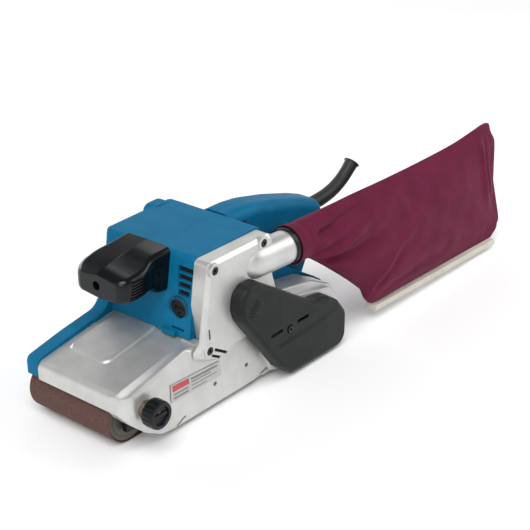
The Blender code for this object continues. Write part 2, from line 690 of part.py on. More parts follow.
def brushes(mats):
    """Carbon brushes in their holders, each behind a screwed cap, front and rear."""
    for side, way in (("front", -1), ("rear", 1)):
        def x(distance):
            return MOTOR[0] + way * distance
        low, high = sorted((x(COMMUTATOR_R + 0.4), x(30.0)))
        block(f"carbon_brush_{side}", (low, BRUSH_Y - 3, 93.0), (high, BRUSH_Y + 3, 101.0), mats["carbon"])
        low, high = sorted((x(18.0), x(36.6)))
        sleeve = block(f"brush_holder_{side}", (low, BRUSH_Y - 5.5, 90.5), (high, BRUSH_Y + 5.5, 103.5),
                       mats["brass"])
        pocket(sleeve, (low - 1, BRUSH_Y - 3.4, 92.6), (high + 1, BRUSH_Y + 3.4, 101.4))
        face = housing_front(97.0) + 0.7 if way < 0 else 165.6
        inside = x(37.2)
        cap = turned(f"brush_cap_{side}", [(0, face), (7.4, face), (8.6, face - way * 1.0), (8.6, inside),
                                           (0, inside)], (BRUSH_Y, 97.0), mats["black"], axis="X")
        low, high = sorted((face - way * 1.8, face + way * 1))
        pocket(cap, (low, BRUSH_Y - 6.0, 96.1), (high, BRUSH_Y + 6.0, 97.9))


# ---------------------------------------------------------------- side cover and spigot

def side_cover(mats):
    """Cast cover over the dust fan, in one piece with the spigot for the dust bag."""
    face = rounded([(77, 147.5, 6), (65, 76, 6), (55, 68.5, 6), (58.5, 61, 6), (71, 57, 6),
                    (168, 57, 6), (167.5, 92, 6), (162.5, 108, 6), (162.5, 147.5, 6)])
    made = stack("side_cover", face, [(PAD_OUT, 3.2), (PAD_OUT + 3.4, 0), (WALL_OUT - GAP, 0)],
                 mats["casting"])
    body = rounded([(77.4, 147, 5), (71, 106, 0), (76, 72.5, 3), (76, SEAT_Z + GAP, 2),
                    (167.4, SEAT_Z + GAP, 2), (166.9, 92, 6), (162, 108, 6), (162, 147, 5)])
    join(made, stack("fan_case", body, [(WALL_OUT - 1.5, 0), (HOUSING_LEFT + 2, 0)]))
    spigot = turned("spigot", [(0, -6), (9, -4.5), (14, -1), (SPIGOT_R, 5),
                               (SPIGOT_R, SPIGOT_LENGTH), (0, SPIGOT_LENGTH)],
                    (0, 0), axis="X", steps=20)
    bore = rod("spigot_bore", (0, 0), SPIGOT_BORE, -2, SPIGOT_LENGTH + 3, axis="X", steps=20)
    for piece in (spigot, bore):
        piece.location = Vector(SPIGOT_START) * MM
        piece.rotation_euler = (0, 0, -SPIGOT_TURN)
    bosses = [rod(f"screw_boss_{number}", spot, 6.8, PAD_OUT - 0.8, WALL_OUT - GAP, steps=14)
              for number, spot in enumerate(((82.7, 139.8), (147.9, 142.6), (73.3, 66.0)))]
    join(made, spigot, *bosses)
    cut(made, block("keep_clear", (40, HOUSING_LEFT - GAP, 40), (168, -30, 160)))
    hole(made, MOTOR, 32.5, -76.4, -60, steps=24)
    cut(made, bore)
    pocket(made, (100, -69, 50), (136, -63, 70))
    hole(made, MOTOR, 7.5, -84, -74)
    for spot in ((82.7, 139.8), (147.9, 142.6), (73.3, 66.0)):
        hole(made, spot, 2.2, -84, -58, steps=10)
        hole(made, spot, 4.0, -84, -76.5)
    for slit in ([(73.0, 78.5), (74.6, 78.5), (75.4, 85.5), (73.8, 85.5)],
                 [(80.6, 62.6), (90.6, 58.2), (91.4, 60.2), (81.4, 64.6)]):
        cut(made, stack("edge_slit", slit, [(PAD_OUT - 1, 0), (PAD_OUT + 1.2, 0)]))
    for number, spot in enumerate(((82.7, 139.8), (147.9, 142.6))):
        screw(f"side_cover_screw_{number + 1}", spot, -79.9, 2.6, -45.5, 3.6, 1.8, mats["steel"])
    screw("side_cover_screw_3", (73.3, 66.0), -79.9, 2.6, -61.0, 3.6, 1.8, mats["steel"])
    return made


# ---------------------------------------------------------------- handle

def handle_outline():
    """Side view of the handle before it is trimmed to the housing and the rear cover."""
    return rounded([(140, 112.5, 0), (140, 147.5, 0), (178, 152.5, 30), (196, 151.6, 30),
                    (236, 143.4, 60), (280, 130.5, 40), (307, 119, 14), (307, 97, 14), (286, 66, 24),
                    (272, 40, 0), (226, 40, 0), (254, 84, 24), (263, 99, 12),
                    (240, 103.6, 24), (200, 109.5, 24)], 25)


def rear_face(z):
    """X of the motor housing's rear face."""
    return REAR_FOOT + (REAR_TOP - REAR_FOOT) * (z - SEAT_Z) / (148.5 - SEAT_Z)


def handle(mats):
    """Clamshell handle in two halves with the switch inside."""
    outline = handle_outline()
    near, far = HANDLE_Y - HANDLE_HALF, HANDLE_Y + HANDLE_HALF
    left = stack("handle_left", outline, pillow(near, HANDLE_Y - GAP / 2, 11.0, 0, 3), mats["blue"])
    right = stack("handle_right", outline, pillow(HANDLE_Y + GAP / 2, far, 0, 11.0, 3), mats["blue"])
    front = [(130, 90), (rear_face(90) + GAP, 90), (rear_face(160) + GAP, 160), (130, 160)]
    base = inset(rear_outline(), -GAP)
    room = rounded([(172, 117.5, 2), (172, 145, 3), (196, 146, 6), (236, 137.5, 10), (272, 126, 6),
                    (272, 104.5, 3), (238, 109.6, 6), (200, 115, 6)], 30)
    for half in (left, right):
        cut(half, stack(half.name + "_front", front, [(near - 2, 0), (far + 2, 0)]),
            stack(half.name + "_foot", base, [(near - 2, 0), (far + 2, 0)]),
            block(half.name + "_heel", (250, near - 2, 30), (290, far + 2, 47)),
            stack(half.name + "_room", room, [(HANDLE_Y - 13.5, 0), (HANDLE_Y + 13.5, 0)]))
        hole(half, (HANDLE_Y, 107.5), 7.7, 268, 312, axis="X", steps=14)
        pocket(half, (187, HANDLE_Y - 7.4, 98), (234, HANDLE_Y + 7.4, 119))
    hole(left, (184, 132), 4.8, -28, -19, steps=14)
    for number, spot in enumerate(((176.5, 113.5), (283, 90.0), (264, 66.5))):
        hole(right, spot, 2.2, HANDLE_Y - 1, 14, steps=10)
        hole(right, spot, 4.2, 7.0, 14, steps=14)
        hole(left, spot, 2.2, -18, HANDLE_Y + 1, steps=10)
        screw(f"handle_screw_{number + 1}", spot, 10.4, 3.0, -16.5, 3.7, 1.8, mats["steel"])
    rod("lock_button", (184, 132), 4.4, -28.0, -20.8, mats["black"], steps=16, origin=(184, -25, 132))
    block("switch_body", (180, HANDLE_Y - 10, 123), (216, HANDLE_Y + 10, 140), mats["black"])
    trigger = rounded([(189.5, 118.0, 1.5), (232.0, 112.6, 1.5), (232.0, 106.0, 2), (219.0, 100.6, 8),
                       (203.0, 102.0, 8), (190.0, 108.5, 3)], 30)
    stack("trigger", trigger, pillow(HANDLE_Y - 7.0, HANDLE_Y + 7.0, 1.5, 1.5, 2), mats["black"],
          origin=(191.5, HANDLE_Y, 115.5))


def rear_outline():
    """Outside of the rear cover, filled in below it."""
    return rounded([(173.2, 81, 2), (223, 74.2, 0), (240, 70, 8), (256, 60.5, 0), (268, 52, 5),
                    (268, 20, 0), (173.2, 20, 0)])


def rear_cover(mats):
    """Blue shell over the driven roller, on which the handle's leg stands."""
    outline = rounded([(173.2, 81, 2), (223, 74.2, 0), (240, 70, 8), (256, 60.5, 0), (268, 52, 5),
                       (268, 44, 5), (258, 34, 6), (257.2, 16, 3), (253.6, 16, 0), (254.6, 40, 6),
                       (248, 54, 12), (234, 62, 10), (220, 66.5, 0), (176.5, 73, 2), (176.5, 66, 0),
                       (173.2, 66, 0)])
    return stack("rear_cover", outline, pillow(WALL_IN + GAP, 49.5, 0, 1.0, 2), mats["blue"])


def cord_guard(mats):
    """Rubber cord guard curving up from the handle's end, open at its flared mouth."""
    path = [(286.0, 107.5), (296.0, 107.5), (308.0, 107.5), (320.0, 107.9), (334.0, 109.6),
            (347.0, 113.0), (358.5, 118.2), (368.0, 124.8), (374.5, 130.2), (376.0, 131.5)]
    radii = [7.3, 7.3, 7.3, 7.2, 7.0, 6.9, 6.8, 6.8, 7.2, 8.6]
    spots = [(x, HANDLE_Y, z) for x, z in path]
    made = tube("cord_guard", spots, radii, mats["rubber"], sides=12)
    first, last = Vector(spots[0]), Vector(spots[-1])
    outward = (last - Vector(spots[-2])).normalized()
    bore_path = [first - Vector((4, 0, 0)), *spots[1:-1], last, last + outward * 4]
    cut(made, tube("cord_bore", bore_path, [4.4] * len(bore_path), None, sides=8))


# ---------------------------------------------------------------- front grip

def front_grip(mats):
    """Glossy moulded knob on the housing's front face."""
    body = rounded([(17.6, 116, 6), (60, 117.0, 0), (60, 147.6, 0), (50, 147.0, 10),
                    (40, 145.6, 10), (28, 139.5, 10), (18.2, 134.0, 6)], 25)
    made = stack("front_grip", body, pillow(-34.0, 28.0, 5.0, 5.0, 2), mats["gloss"])
    low, high = housing_front(107.5) - GAP, housing_front(149.5) - GAP
    neck = rounded([(55, 109, 6), (low, 107.5, 0), (high, 149.8, 0), (56, 147.2, 0)])
    join(made, stack("grip_neck", neck, pillow(-31.0, 25.0, 3.0, 3.0, 2)))
    hole(made, (-1.0, 127.0), 4.2, 10, 50, axis="X")
    hole(made, (-1.0, 127.0), 2.3, 48, 90, axis="X", steps=12)
    for number in range(5):
        z = 121.5 + 4.0 * number
        pocket(made, (28.0 + 1.6 * number, -36, z), (56, -33.2, z + 1.8))
    screw("front_grip_screw", (-1.0, 127.0), 46.0, 3.4, 97.0, 3.7, 1.9, mats["steel"], axis="X")


# ---------------------------------------------------------------- dust bag

SPIGOT_END_X = SPIGOT_START[0] + SPIGOT_LENGTH * math.cos(SPIGOT_TURN)
SPIGOT_END_Y = SPIGOT_START[1] - SPIGOT_LENGTH * math.sin(SPIGOT_TURN)


def bag_section(x, top, bottom, half, middle_y, lean, pointed, ring):
    """One closed section of the bag: a pointed lens from its top fold to its foot."""
    points = []
    for index in range(ring):
        angle = math.tau * index / ring
        up = math.sin(angle)
        side = math.cos(angle)
        height = (top + bottom) / 2 + (top - bottom) / 2 * up
        width = half * side * (1 - pointed * (1 - abs(side)))
        points.append((x, middle_y + width + lean * (1 - up) / 2, height))
    return points


def dust_bag(mats):
    """Cloth bag on the spigot, closed along its foot by a slide-on rail."""
    start_x, start_y = SPIGOT_END_X + 5.3, SPIGOT_END_Y
    sections = [
        (start_x, 141.5, 106.5, 17.5, start_y, 0, 0),
        (start_x + 14, 142.5, 104, 17.5, start_y - 0.6, 0, 0.1),
        (start_x + 50, 144, 76, 17, start_y, -4, 0.4),
        (start_x + 84, 143.5, 47, 20, start_y, -6, 0.6),
        (start_x + 97, 143.5, 34, 20, start_y, -8, 0.65),
        (start_x + 114, 143.5, 19.7, 20, start_y, -9.5, 0.65),
        (350, 143.5, 18.1, 20, start_y, -9.5, 0.65),
        (420, 143, 15.7, 20, start_y, -9.5, 0.65),
        (490, 146, 13.4, 16, start_y, -9.5, 0.65),
        (530, 144, 12.0, 9, start_y, -9.5, 0.65),
        (556, 60, 16, 3, start_y - 6, -5, 0.65),
    ]
    ring = 16
    bm = bmesh.new()
    rows = [[bm.verts.new(p) for p in bag_section(*section, ring)] for section in sections]
    for lower, upper in zip(rows, rows[1:]):
        bridge(bm, lower, upper)
    bm.faces.new(rows[0])
    bm.faces.new(rows[-1])
    place("dust_bag", bm, mats["cloth"])


def bag_collar(mats):
    made = turned("bag_collar", [(SPIGOT_R + GAP, -9), (SPIGOT_R + 1.6, -9), (SPIGOT_R + 1.6, 3.6),
                                 (SPIGOT_BORE, 3.6), (SPIGOT_BORE, GAP), (SPIGOT_R + GAP, GAP)],
                  (0, 0), mats["rubber"], axis="X", steps=20)
    made.location = Vector((SPIGOT_END_X, SPIGOT_END_Y, SPIGOT_START[2])) * MM
    made.rotation_euler = (0, 0, -SPIGOT_TURN)


def bag_fastener(mats):
    """Plastic rail along the bag's folded foot, dropping slightly to the rear."""
    outline = rounded([(-7, -3.2, 2), (7, -3.2, 2), (7, 3.2, 2), (-7, 3.2, 2)])
    made = stack("bag_fastener", outline, [(0, 0), (RAIL_LENGTH, 0)], mats["rail"], "X")
    made.location = Vector(RAIL_START) * MM
    made.rotation_euler = (0, RAIL_DROP, 0)


def main():
    global ROOT
    clear_scene()
    ROOT = bpy.data.objects.new("SANDER", None)
    ROOT.location = (-ROLLER_SPACING / 2 * MM, 0, 0)
    bpy.context.collection.objects.link(ROOT)
    mats = {
        "blue": material("blue_housing", (0.02, 0.15, 0.32), 0.45),
        "casting": material("cast_aluminium", (0.62, 0.62, 0.60), 0.38, 1.0),
        "black": material("black_plastic", (0.035, 0.04, 0.04), 0.5),
        "gloss": material("gloss_black", (0.012, 0.012, 0.014), 0.2),
        "rubber": material("black_rubber", (0.02, 0.02, 0.02), 0.7),
        "steel": material("steel", (0.45, 0.45, 0.46), 0.35, 1.0),
        "spring": material("spring_wire", (0.30, 0.30, 0.31), 0.4, 1.0),
        "brass": material("brass", (0.66, 0.48, 0.20), 0.35, 1.0),
        "carbon": material("carbon", (0.02, 0.02, 0.02), 0.8),
        "cork": material("graphite_pad", (0.06, 0.06, 0.06), 0.8),
        "roller": material("roller_alloy", (0.5, 0.5, 0.5), 0.45, 1.0),
        "abrasive": material("abrasive_cloth", (0.16, 0.05, 0.035), 0.9),
        "plate": material("rating_plate", (0.7, 0.7, 0.7), 0.35, 1.0),
        "cloth": material("bag_cloth", (0.16, 0.02, 0.055), 0.75),
        "rail": material("rail_plastic", (0.72, 0.70, 0.62), 0.5),
    }
    for build in (base_frame, side_guard, name_plate, shoe, sanding_belt, front_idler,
                  tension_lever, tracking, drive, belt_cover, motor_housing, motor, brushes,
                  side_cover, handle, rear_cover, cord_guard, front_grip, dust_bag, bag_collar,
                  bag_fastener):
        build(mats)


main()
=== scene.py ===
"""Looks of a handheld belt sander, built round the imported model.

Shapes are laid out in millimetres from the front roller's axis on the sanding plane, as the
CAD is: +X to the rear, -Y to the left side, +Z up. `place` turns them into the frame's metres.
"""
from math import acos, atan2, cos, degrees, dist, exp, hypot, pi, radians, sin, sqrt, tan, tau

import bmesh
import bpy
from mathutils import Matrix, Vector, noise


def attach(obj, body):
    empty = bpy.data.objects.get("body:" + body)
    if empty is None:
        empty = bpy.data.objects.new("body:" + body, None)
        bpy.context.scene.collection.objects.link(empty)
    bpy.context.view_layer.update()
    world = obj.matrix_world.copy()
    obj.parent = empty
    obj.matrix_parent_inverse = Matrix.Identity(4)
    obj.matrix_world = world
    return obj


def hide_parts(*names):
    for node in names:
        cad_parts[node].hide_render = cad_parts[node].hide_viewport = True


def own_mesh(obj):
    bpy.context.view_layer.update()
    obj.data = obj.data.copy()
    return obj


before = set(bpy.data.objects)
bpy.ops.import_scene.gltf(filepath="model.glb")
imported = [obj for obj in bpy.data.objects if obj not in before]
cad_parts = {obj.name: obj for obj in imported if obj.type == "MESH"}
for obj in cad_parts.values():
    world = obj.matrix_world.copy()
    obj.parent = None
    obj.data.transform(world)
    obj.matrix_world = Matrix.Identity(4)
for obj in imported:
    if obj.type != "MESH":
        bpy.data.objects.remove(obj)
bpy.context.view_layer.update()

MM = 0.001
ORIGIN_X = 112.5               # the frame's origin, in millimetres behind the front roller
GAP = 0.3

FRONT_C = (0, 24)
REAR_C = (225, 27)
WALL_OUT = -74
WALL_IN = -52
PAD_OUT = -79
RIM_IN = -72.5
RIM_FOOT = -54
DECK_FAR = 36
BELT_HALF = 50
ROLLER_HALF = 49.5
SEAT_Z = 57.8
MOTOR = (118, 97)
HOUSING_LEFT = -60.7
HOUSING_RIGHT = 51
REAR_FOOT, REAR_TOP = 167, 165
COVER_FACE = -93
SPIGOT_R = 16
SPIGOT_NOSE = 22
SPIGOT_START = Vector((136, -70, 124))
SPIGOT_TURN = radians(4)
SPIGOT_LENGTH = 57
SPIGOT_END = SPIGOT_START + Vector((cos(SPIGOT_TURN), -sin(SPIGOT_TURN), 0)) * SPIGOT_LENGTH
HANDLE_Y = -7
HANDLE_HALF = 18.5
TRACK = (-3, 42)
BRUSH = (-45, 97)
GRIP_SCREW = (-1, 127)
BELT_SCREW = (168, 52.5)
COVER_SCREWS = ((82.7, 139.8), (147.9, 142.6), (73.3, 66))
HANDLE_SCREWS = ((176.5, 113.5), (283, 90), (264, 66.5))
# Flat black for the sheets behind vents and slits: painted shade for the dark inside of the tool.
PAINTED_SHADE_BLACK = (0.002, 0.002, 0.002, 1)
RAIL_START = Vector((308, -83.5, 15.7))
RAIL_DROP = radians(1.93)
RAIL_LENGTH = 226.5


# ---- materials

def shader_of(name, roughness, metallic=0, **sockets):
    made = bpy.data.materials.new(name)
    made.use_nodes = True
    shader = made.node_tree.nodes["Principled BSDF"]
    shader.inputs["Roughness"].default_value = roughness
    shader.inputs["Metallic"].default_value = metallic
    for socket, value in sockets.items():
        shader.inputs[socket.replace("_", " ")].default_value = value
    return made, made.node_tree, shader


def node(tree, kind, **inputs):
    """A new node; each input is a value, or a socket of another node to link from."""
    made = tree.nodes.new("ShaderNode" + kind)
    for name, value in inputs.items():
        socket = made.inputs[name.replace("_", " ")]
        if isinstance(value, bpy.types.NodeSocket):
            tree.links.new(value, socket)
        else:
            socket.default_value = value
    return made


def object_place(tree):
    return node(tree, "TexCoord").outputs["Object"]


def noise_node(tree, scale, detail=2, stretch=(1, 1, 1)):
    mapping = node(tree, "Mapping", Scale=stretch, Vector=object_place(tree))
    return node(tree, "TexNoise", Scale=scale, Detail=detail,
        Vector=mapping.outputs["Vector"]).outputs["Fac"]


def ramp(tree, factor, low, high, start=0.35, end=0.65):
    made = node(tree, "ValToRGB", Fac=factor)
    for stop, spot, colour in zip(made.color_ramp.elements, (start, end), (low, high)):
        stop.position = spot
        stop.color = (*colour, 1)
    return made.outputs["Color"]


def bump(tree, shader, height, strength, distance):
    made = node(tree, "Bump", Strength=strength, Distance=distance, Height=height)
    tree.links.new(made.outputs["Normal"], shader.inputs["Normal"])


def rough_range(tree, shader, factor, low, high):
    made = node(tree, "MapRange", To_Min=low, To_Max=high, Value=factor)
    tree.links.new(made.outputs["Result"], shader.inputs["Roughness"])


def grained(name, low, high, rough, metallic=0, blotch=60, grain=2200, depth=0.00004, strength=0.25,
        **sockets):
    """A moulded or cast surface: soft blotches of colour and gloss over a fine bumped grain."""
    made, tree, shader = shader_of(name, rough[0], metallic, **sockets)
    blotches = noise_node(tree, blotch, 3)
    tree.links.new(ramp(tree, blotches, low, high), shader.inputs["Base Color"])
    rough_range(tree, shader, blotches, *rough)
    bump(tree, shader, noise_node(tree, grain, 2), strength, depth)
    return made


def brushed(name, low, high, rough, stretch):
    """Machined metal with fine scratches along one direction."""
    made, tree, shader = shader_of(name, rough[0], 1)
    lines = noise_node(tree, 500, 3, stretch)
    tree.links.new(ramp(tree, lines, low, high, 0.3, 0.7), shader.inputs["Base Color"])
    rough_range(tree, shader, lines, *rough)
    bump(tree, shader, lines, 0.15, 0.00003)
    return made


def abrasive():
    """Grains of red-brown aluminium oxide in resin on cloth."""
    made, tree, shader = shader_of("abrasive_cloth", 0.85)
    grains = node(tree, "TexVoronoi", Scale=1500, Vector=object_place(tree))
    tree.links.new(ramp(tree, grains.outputs["Color"], (0.058, 0.022, 0.017), (0.125, 0.06, 0.048), 0.1,
        0.9), shader.inputs["Base Color"])
    bump(tree, shader, grains.outputs["Distance"], 0.8, 0.0003)
    return made


def cloth():
    """Plain-woven burgundy cotton: two crossing sets of threads, with a soft sheen."""
    made, tree, shader = shader_of("bag_cloth", 0.8, Sheen_Weight=0.15, Sheen_Roughness=0.4,
        Specular_IOR_Level=0.15)
    shader.inputs["Sheen Tint"].default_value = (0.8, 0.2, 0.35, 1)
    threads = []
    for direction in ("X", "Z"):
        wave = node(tree, "TexWave", Scale=330, Distortion=0.6, Detail=1, Vector=object_place(tree))
        wave.bands_direction = direction
        threads.append(wave.outputs["Fac"])
    weave = node(tree, "Math")
    weave.operation = "MULTIPLY"
    tree.links.new(threads[0], weave.inputs[0])
    tree.links.new(threads[1], weave.inputs[1])
    slubs = noise_node(tree, 45, 4)
    mixed = node(tree, "Math")
    mixed.operation = "MULTIPLY_ADD"
    mixed.inputs[1].default_value = 0.35
    tree.links.new(weave.outputs["Value"], mixed.inputs[0])
    tree.links.new(slubs, mixed.inputs[2])
    tree.links.new(ramp(tree, mixed.outputs["Value"], (0.085, 0.006, 0.024), (0.135, 0.012, 0.042), 0.3,
        0.9), shader.inputs["Base Color"])
    bump(tree, shader, weave.outputs["Value"], 0.45, 0.0002)
    return made


MATS = {
    "blue": grained("blue_housing", (0.0018, 0.118, 0.24), (0.0035, 0.138, 0.27), (0.42, 0.5),
        Specular_IOR_Level=0.09),
    # Darker blue for the ring in the recess round the brush cap: painted shade in the recess, the same
    # plastic as the housing.
    "blue_painted_shade": grained("blue_recess_painted_shade", (0.001, 0.05, 0.105), (0.0015, 0.06, 0.12), (0.45, 0.55),
        Specular_IOR_Level=0.3),
    "casting": grained("cast_aluminium", (0.56, 0.56, 0.545), (0.62, 0.62, 0.605), (0.34, 0.42), 0.65,
        grain=1500, depth=0.00005, strength=0.35),
    "dark": grained("dark_cover", (0.011, 0.0135, 0.0125), (0.016, 0.019, 0.0175), (0.34, 0.42),
        Specular_IOR_Level=0.14),
    "black": grained("black_plastic", (0.004, 0.0055, 0.006), (0.007, 0.009, 0.0095), (0.26, 0.34),
        Specular_IOR_Level=0.26),
    "gloss": grained("gloss_black", (0.0022, 0.0032, 0.0036), (0.004, 0.0055, 0.006), (0.19, 0.25),
        grain=900, depth=0.00002, strength=0.08, Specular_IOR_Level=0.3),
    "rubber": grained("black_rubber", (0.01, 0.01, 0.01), (0.017, 0.017, 0.017), (0.48, 0.6),
        depth=0.0001, strength=0.4),
    "steel": brushed("steel", (0.42, 0.42, 0.43), (0.56, 0.56, 0.57), (0.26, 0.4), (1, 12, 12)),
    # Black oxide for the screws; on the roller yoke the same dark finish is painted shade.
    "oxide_and_painted_shade": brushed("black_oxide", (0.035, 0.035, 0.036), (0.06, 0.06, 0.062), (0.3, 0.45), (1, 4, 4)),
    "spring": brushed("spring_wire", (0.26, 0.26, 0.27), (0.38, 0.38, 0.39), (0.3, 0.45), (1, 1, 1)),
    "bronze": brushed("dull_bronze", (0.14, 0.12, 0.09), (0.24, 0.2, 0.15), (0.35, 0.5), (1, 6, 6)),
    # Flat black material: painted shade, laid on sheets behind the vents and slits.
    "painted_shade": shader_of("vent_shade", 0.9, Base_Color=PAINTED_SHADE_BLACK)[0],
    "brass": brushed("brass", (0.6, 0.43, 0.17), (0.72, 0.53, 0.24), (0.3, 0.42), (1, 6, 6)),
    "carbon": grained("carbon", (0.015, 0.015, 0.015), (0.028, 0.028, 0.028), (0.7, 0.85)),
    "pad": grained("graphite_pad", (0.04, 0.04, 0.04), (0.075, 0.075, 0.075), (0.6, 0.8), blotch=300),
    "roller": brushed("roller_alloy", (0.15, 0.145, 0.125), (0.22, 0.21, 0.185), (0.5, 0.62), (1, 1, 12)),
    "abrasive": abrasive(),
    "plate": brushed("rating_plate", (0.46, 0.46, 0.45), (0.58, 0.58, 0.565), (0.35, 0.45), (12, 1, 1)),
    "red": grained("plate_red", (0.4, 0.045, 0.04), (0.46, 0.06, 0.055), (0.4, 0.5)),
    "grey": grained("plate_grey", (0.16, 0.16, 0.16), (0.2, 0.2, 0.2), (0.4, 0.5)),
    "cloth": cloth(),
    "thread": grained("bag_thread", (0.1, 0.01, 0.032), (0.14, 0.016, 0.046), (0.6, 0.75)),
    "rail": grained("rail_plastic", (0.52, 0.49, 0.42), (0.58, 0.55, 0.48), (0.42, 0.5)),
}


# ---- outlines

def rounded(corners, step=9, pieces=0):
    """Points of a closed outline: corners (a, b, radius) get arcs, corners (a, b) stay sharp.

    With `pieces`, every arc has that many, so that outlines can be bridged."""
    points = []
    count = len(corners)
    for index, (a, b, *curve) in enumerate(corners):
        here = Vector((a, b))
        if not curve:
            points.append((a, b))
            continue
        radius = curve[0]
        before = (Vector(corners[index - 1][:2]) - here).normalized()
        after = (Vector(corners[(index + 1) % count][:2]) - here).normalized()
        opening = before.angle(after)
        reach = radius / tan(opening / 2)
        centre = here + (before + after).normalized() * (radius / sin(opening / 2))
        start = here + before * reach - centre
        turn = pi - opening
        if before.x * after.y - before.y * after.x > 0:
            turn = -turn
        parts = pieces or max(1, round(abs(degrees(turn)) / step))
        for piece in range(parts + 1):
            angle = turn * piece / parts
            x = start.x * cos(angle) - start.y * sin(angle)
            y = start.x * sin(angle) + start.y * cos(angle)
            points.append((centre.x + x, centre.y + y))
    return points


def arc(centre, radius, start, end, pieces):
    angles = (radians(start + (end - start) * i / pieces) for i in range(pieces + 1))
    return [(centre[0] + radius * cos(t), centre[1] + radius * sin(t)) for t in angles]


def inset(points, amount):
    """The outline moved inwards by amount at every edge."""
    count = len(points)
    area = sum(points[i - 1][0] * points[i][1] - points[i][0] * points[i - 1][1] for i in range(count))
    side = 1 if area > 0 else -1
    moved = []
    for index, point in enumerate(points):
        here = Vector(point)
        into = (here - Vector(points[index - 1])).normalized()
        away = (Vector(points[(index + 1) % count]) - here).normalized()
        first = Vector((-into.y, into.x)) * side
        second = Vector((-away.y, away.x)) * side
        mitre = (first + second) / max(0.3, 1 + first.dot(second))
        moved.append(tuple(here + mitre * amount))
    return moved


def open_belt(front, front_r, rear, rear_r, pieces=40):
    """The outline of a belt drawn tight round two circles."""
    gap = Vector(rear) - Vector(front)
    along = degrees(atan2(gap.y, gap.x))
    wrap = degrees(acos((front_r - rear_r) / gap.length))
    loop = arc(front, front_r, along + wrap, along + 360 - wrap, pieces)
    return loop + arc(rear, rear_r, along - wrap, along + wrap, pieces)


def full_turn(pieces):
    return [tau * piece / pieces for piece in range(pieces)]


def quarter_turn(pieces):
    return [pi / 2 * piece / pieces for piece in range(pieces + 1)]


def pillow(low, high, low_round, high_round, pieces=6):
    """Levels of a prism whose two ends are rounded by quarter circles."""
    def quarter(radius):
        return [(radius * (1 - cos(t)), radius * (1 - sin(t)))
            for t in (quarter_turn(pieces) if radius else [0])]
    lows = [(low + along, amount) for along, amount in quarter(low_round)]
    highs = [(high - along, amount) for along, amount in quarter(high_round)]
    return lows + highs[::-1]


# ---- solids

PLANES = {
    "Y": lambda a, b, along: (a, along, b),
    "X": lambda a, b, along: (along, a, b),
    "Z": lambda a, b, along: (a, b, along),
}


def show(made):
    bpy.context.scene.collection.objects.link(made)
    return made


def place(name, bm):
    """Turn a bmesh laid out in millimetres into an object in the frame's metres."""
    bmesh.ops.remove_doubles(bm, verts=bm.verts, dist=1e-4)
    bmesh.ops.recalc_face_normals(bm, faces=bm.faces)
    if bm.calc_volume(signed=True) < 0:
        bmesh.ops.reverse_faces(bm, faces=bm.faces)
    bm.transform(Matrix.Scale(MM, 4) @ Matrix.Translation((-ORIGIN_X, 0, 0)))
    mesh = bpy.data.meshes.new(name)
    bm.to_mesh(mesh)
    bm.free()
    return show(bpy.data.objects.new(name, mesh))


def bridge(bm, lower, upper):
    count = len(lower)
    for i in range(count):
        j = (i + 1) % count
        bm.faces.new((lower[i], lower[j], upper[j], upper[i]))


def loft(name, rings):
    """Join closed rings of points into one solid with flat ends."""
    bm = bmesh.new()
    rows = [[bm.verts.new(spot) for spot in ring] for ring in rings]
    for lower, upper in zip(rows, rows[1:]):
        bridge(bm, lower, upper)
    bm.faces.new(rows[0])
    bm.faces.new(rows[-1])
    return place(name, bm)


def stack(name, outline, levels, axis="Y"):
    """Carry an outline through levels of (place along the axis, inset)."""
    rings = []
    for along, amount in levels:
        points = inset(outline, amount) if amount else outline
        rings.append([PLANES[axis](a, b, along) for a, b in points])
    return loft(name, rings)


def between(keys, x):
    """Values at x from a table of (x, value, ...), joined by smooth curves."""
    last = len(keys) - 1
    x = min(max(x, keys[0][0]), keys[last][0])
    index = min(max(i for i, key in enumerate(keys) if key[0] <= x), last - 1)
    (x0, *now), (x1, *then) = keys[index:index + 2]
    x_before, *before = keys[max(index - 1, 0)]
    x_after, *after = keys[min(index + 2, last)]
    span = x1 - x0
    t = (x - x0) / span
    values = []
    for a, b, c, d in zip(before, now, then, after):
        out = (c - a) / (x1 - x_before) * span
        into = (d - b) / (x_after - x0) * span
        values.append((2 * t ** 3 - 3 * t * t + 1) * b + (t ** 3 - 2 * t * t + t) * out
            + (3 * t * t - 2 * t ** 3) * c + (t ** 3 - t * t) * into)
    return values


def prism(name, outline, low, high, axis="Y"):
    return stack(name, outline, [(low, 0), (high, 0)], axis)


def block(name, low, high):
    outline = [(low[0], low[1]), (high[0], low[1]), (high[0], high[1]), (low[0], high[1])]
    return stack(name, outline, [(low[2], 0), (high[2], 0)], "Z")


def turned(name, profile, centre=None, axis="Y", steps=64, start=None, turn=0):
    """Revolve a closed profile of (radius, along). With `start`, the axis is +X turned by `turn`."""
    bm = bmesh.new()
    rings = []
    for angle in full_turn(steps):
        ring = []
        for radius, along in profile:
            a, b = radius * cos(angle), radius * sin(angle)
            if start is not None:
                spot = Vector(start) + Matrix.Rotation(turn, 3, "Z") @ Vector((along, a, b))
            else:
                spot = PLANES[axis](centre[0] + a, centre[1] + b, along)
            ring.append(bm.verts.new(spot))
        rings.append(ring)
    count = len(profile)
    for step in range(steps):
        here, there = rings[step], rings[(step + 1) % steps]
        for i in range(count):
            j = (i + 1) % count
            far = [there[k] for k in (i, j) if profile[k][0]]
            if far:
                bm.faces.new((here[i], *far, here[j]))
    return place(name, bm)


def rod(name, centre, radius, low, high, axis="Y", steps=48):
    return turned(name, [(0, low), (radius, low), (radius, high), (0, high)], centre, axis, steps)


def modify(made, kind, **settings):
    step = made.modifiers.new(kind, kind)
    for key, value in settings.items():
        setattr(step, key, value)


def boolean(target, tools, operation):
    """One modifier with all the tools of a kind, applied at once."""
    group = bpy.data.collections.new(target.name + "_tools")
    for tool in tools:
        group.objects.link(tool)
    modify(target, "BOOLEAN", operation=operation, solver="EXACT", operand_type="COLLECTION",
        collection=group)
    apply(target)
    for tool in tools:
        bpy.data.objects.remove(tool, do_unlink=True)
    bpy.data.collections.remove(group)


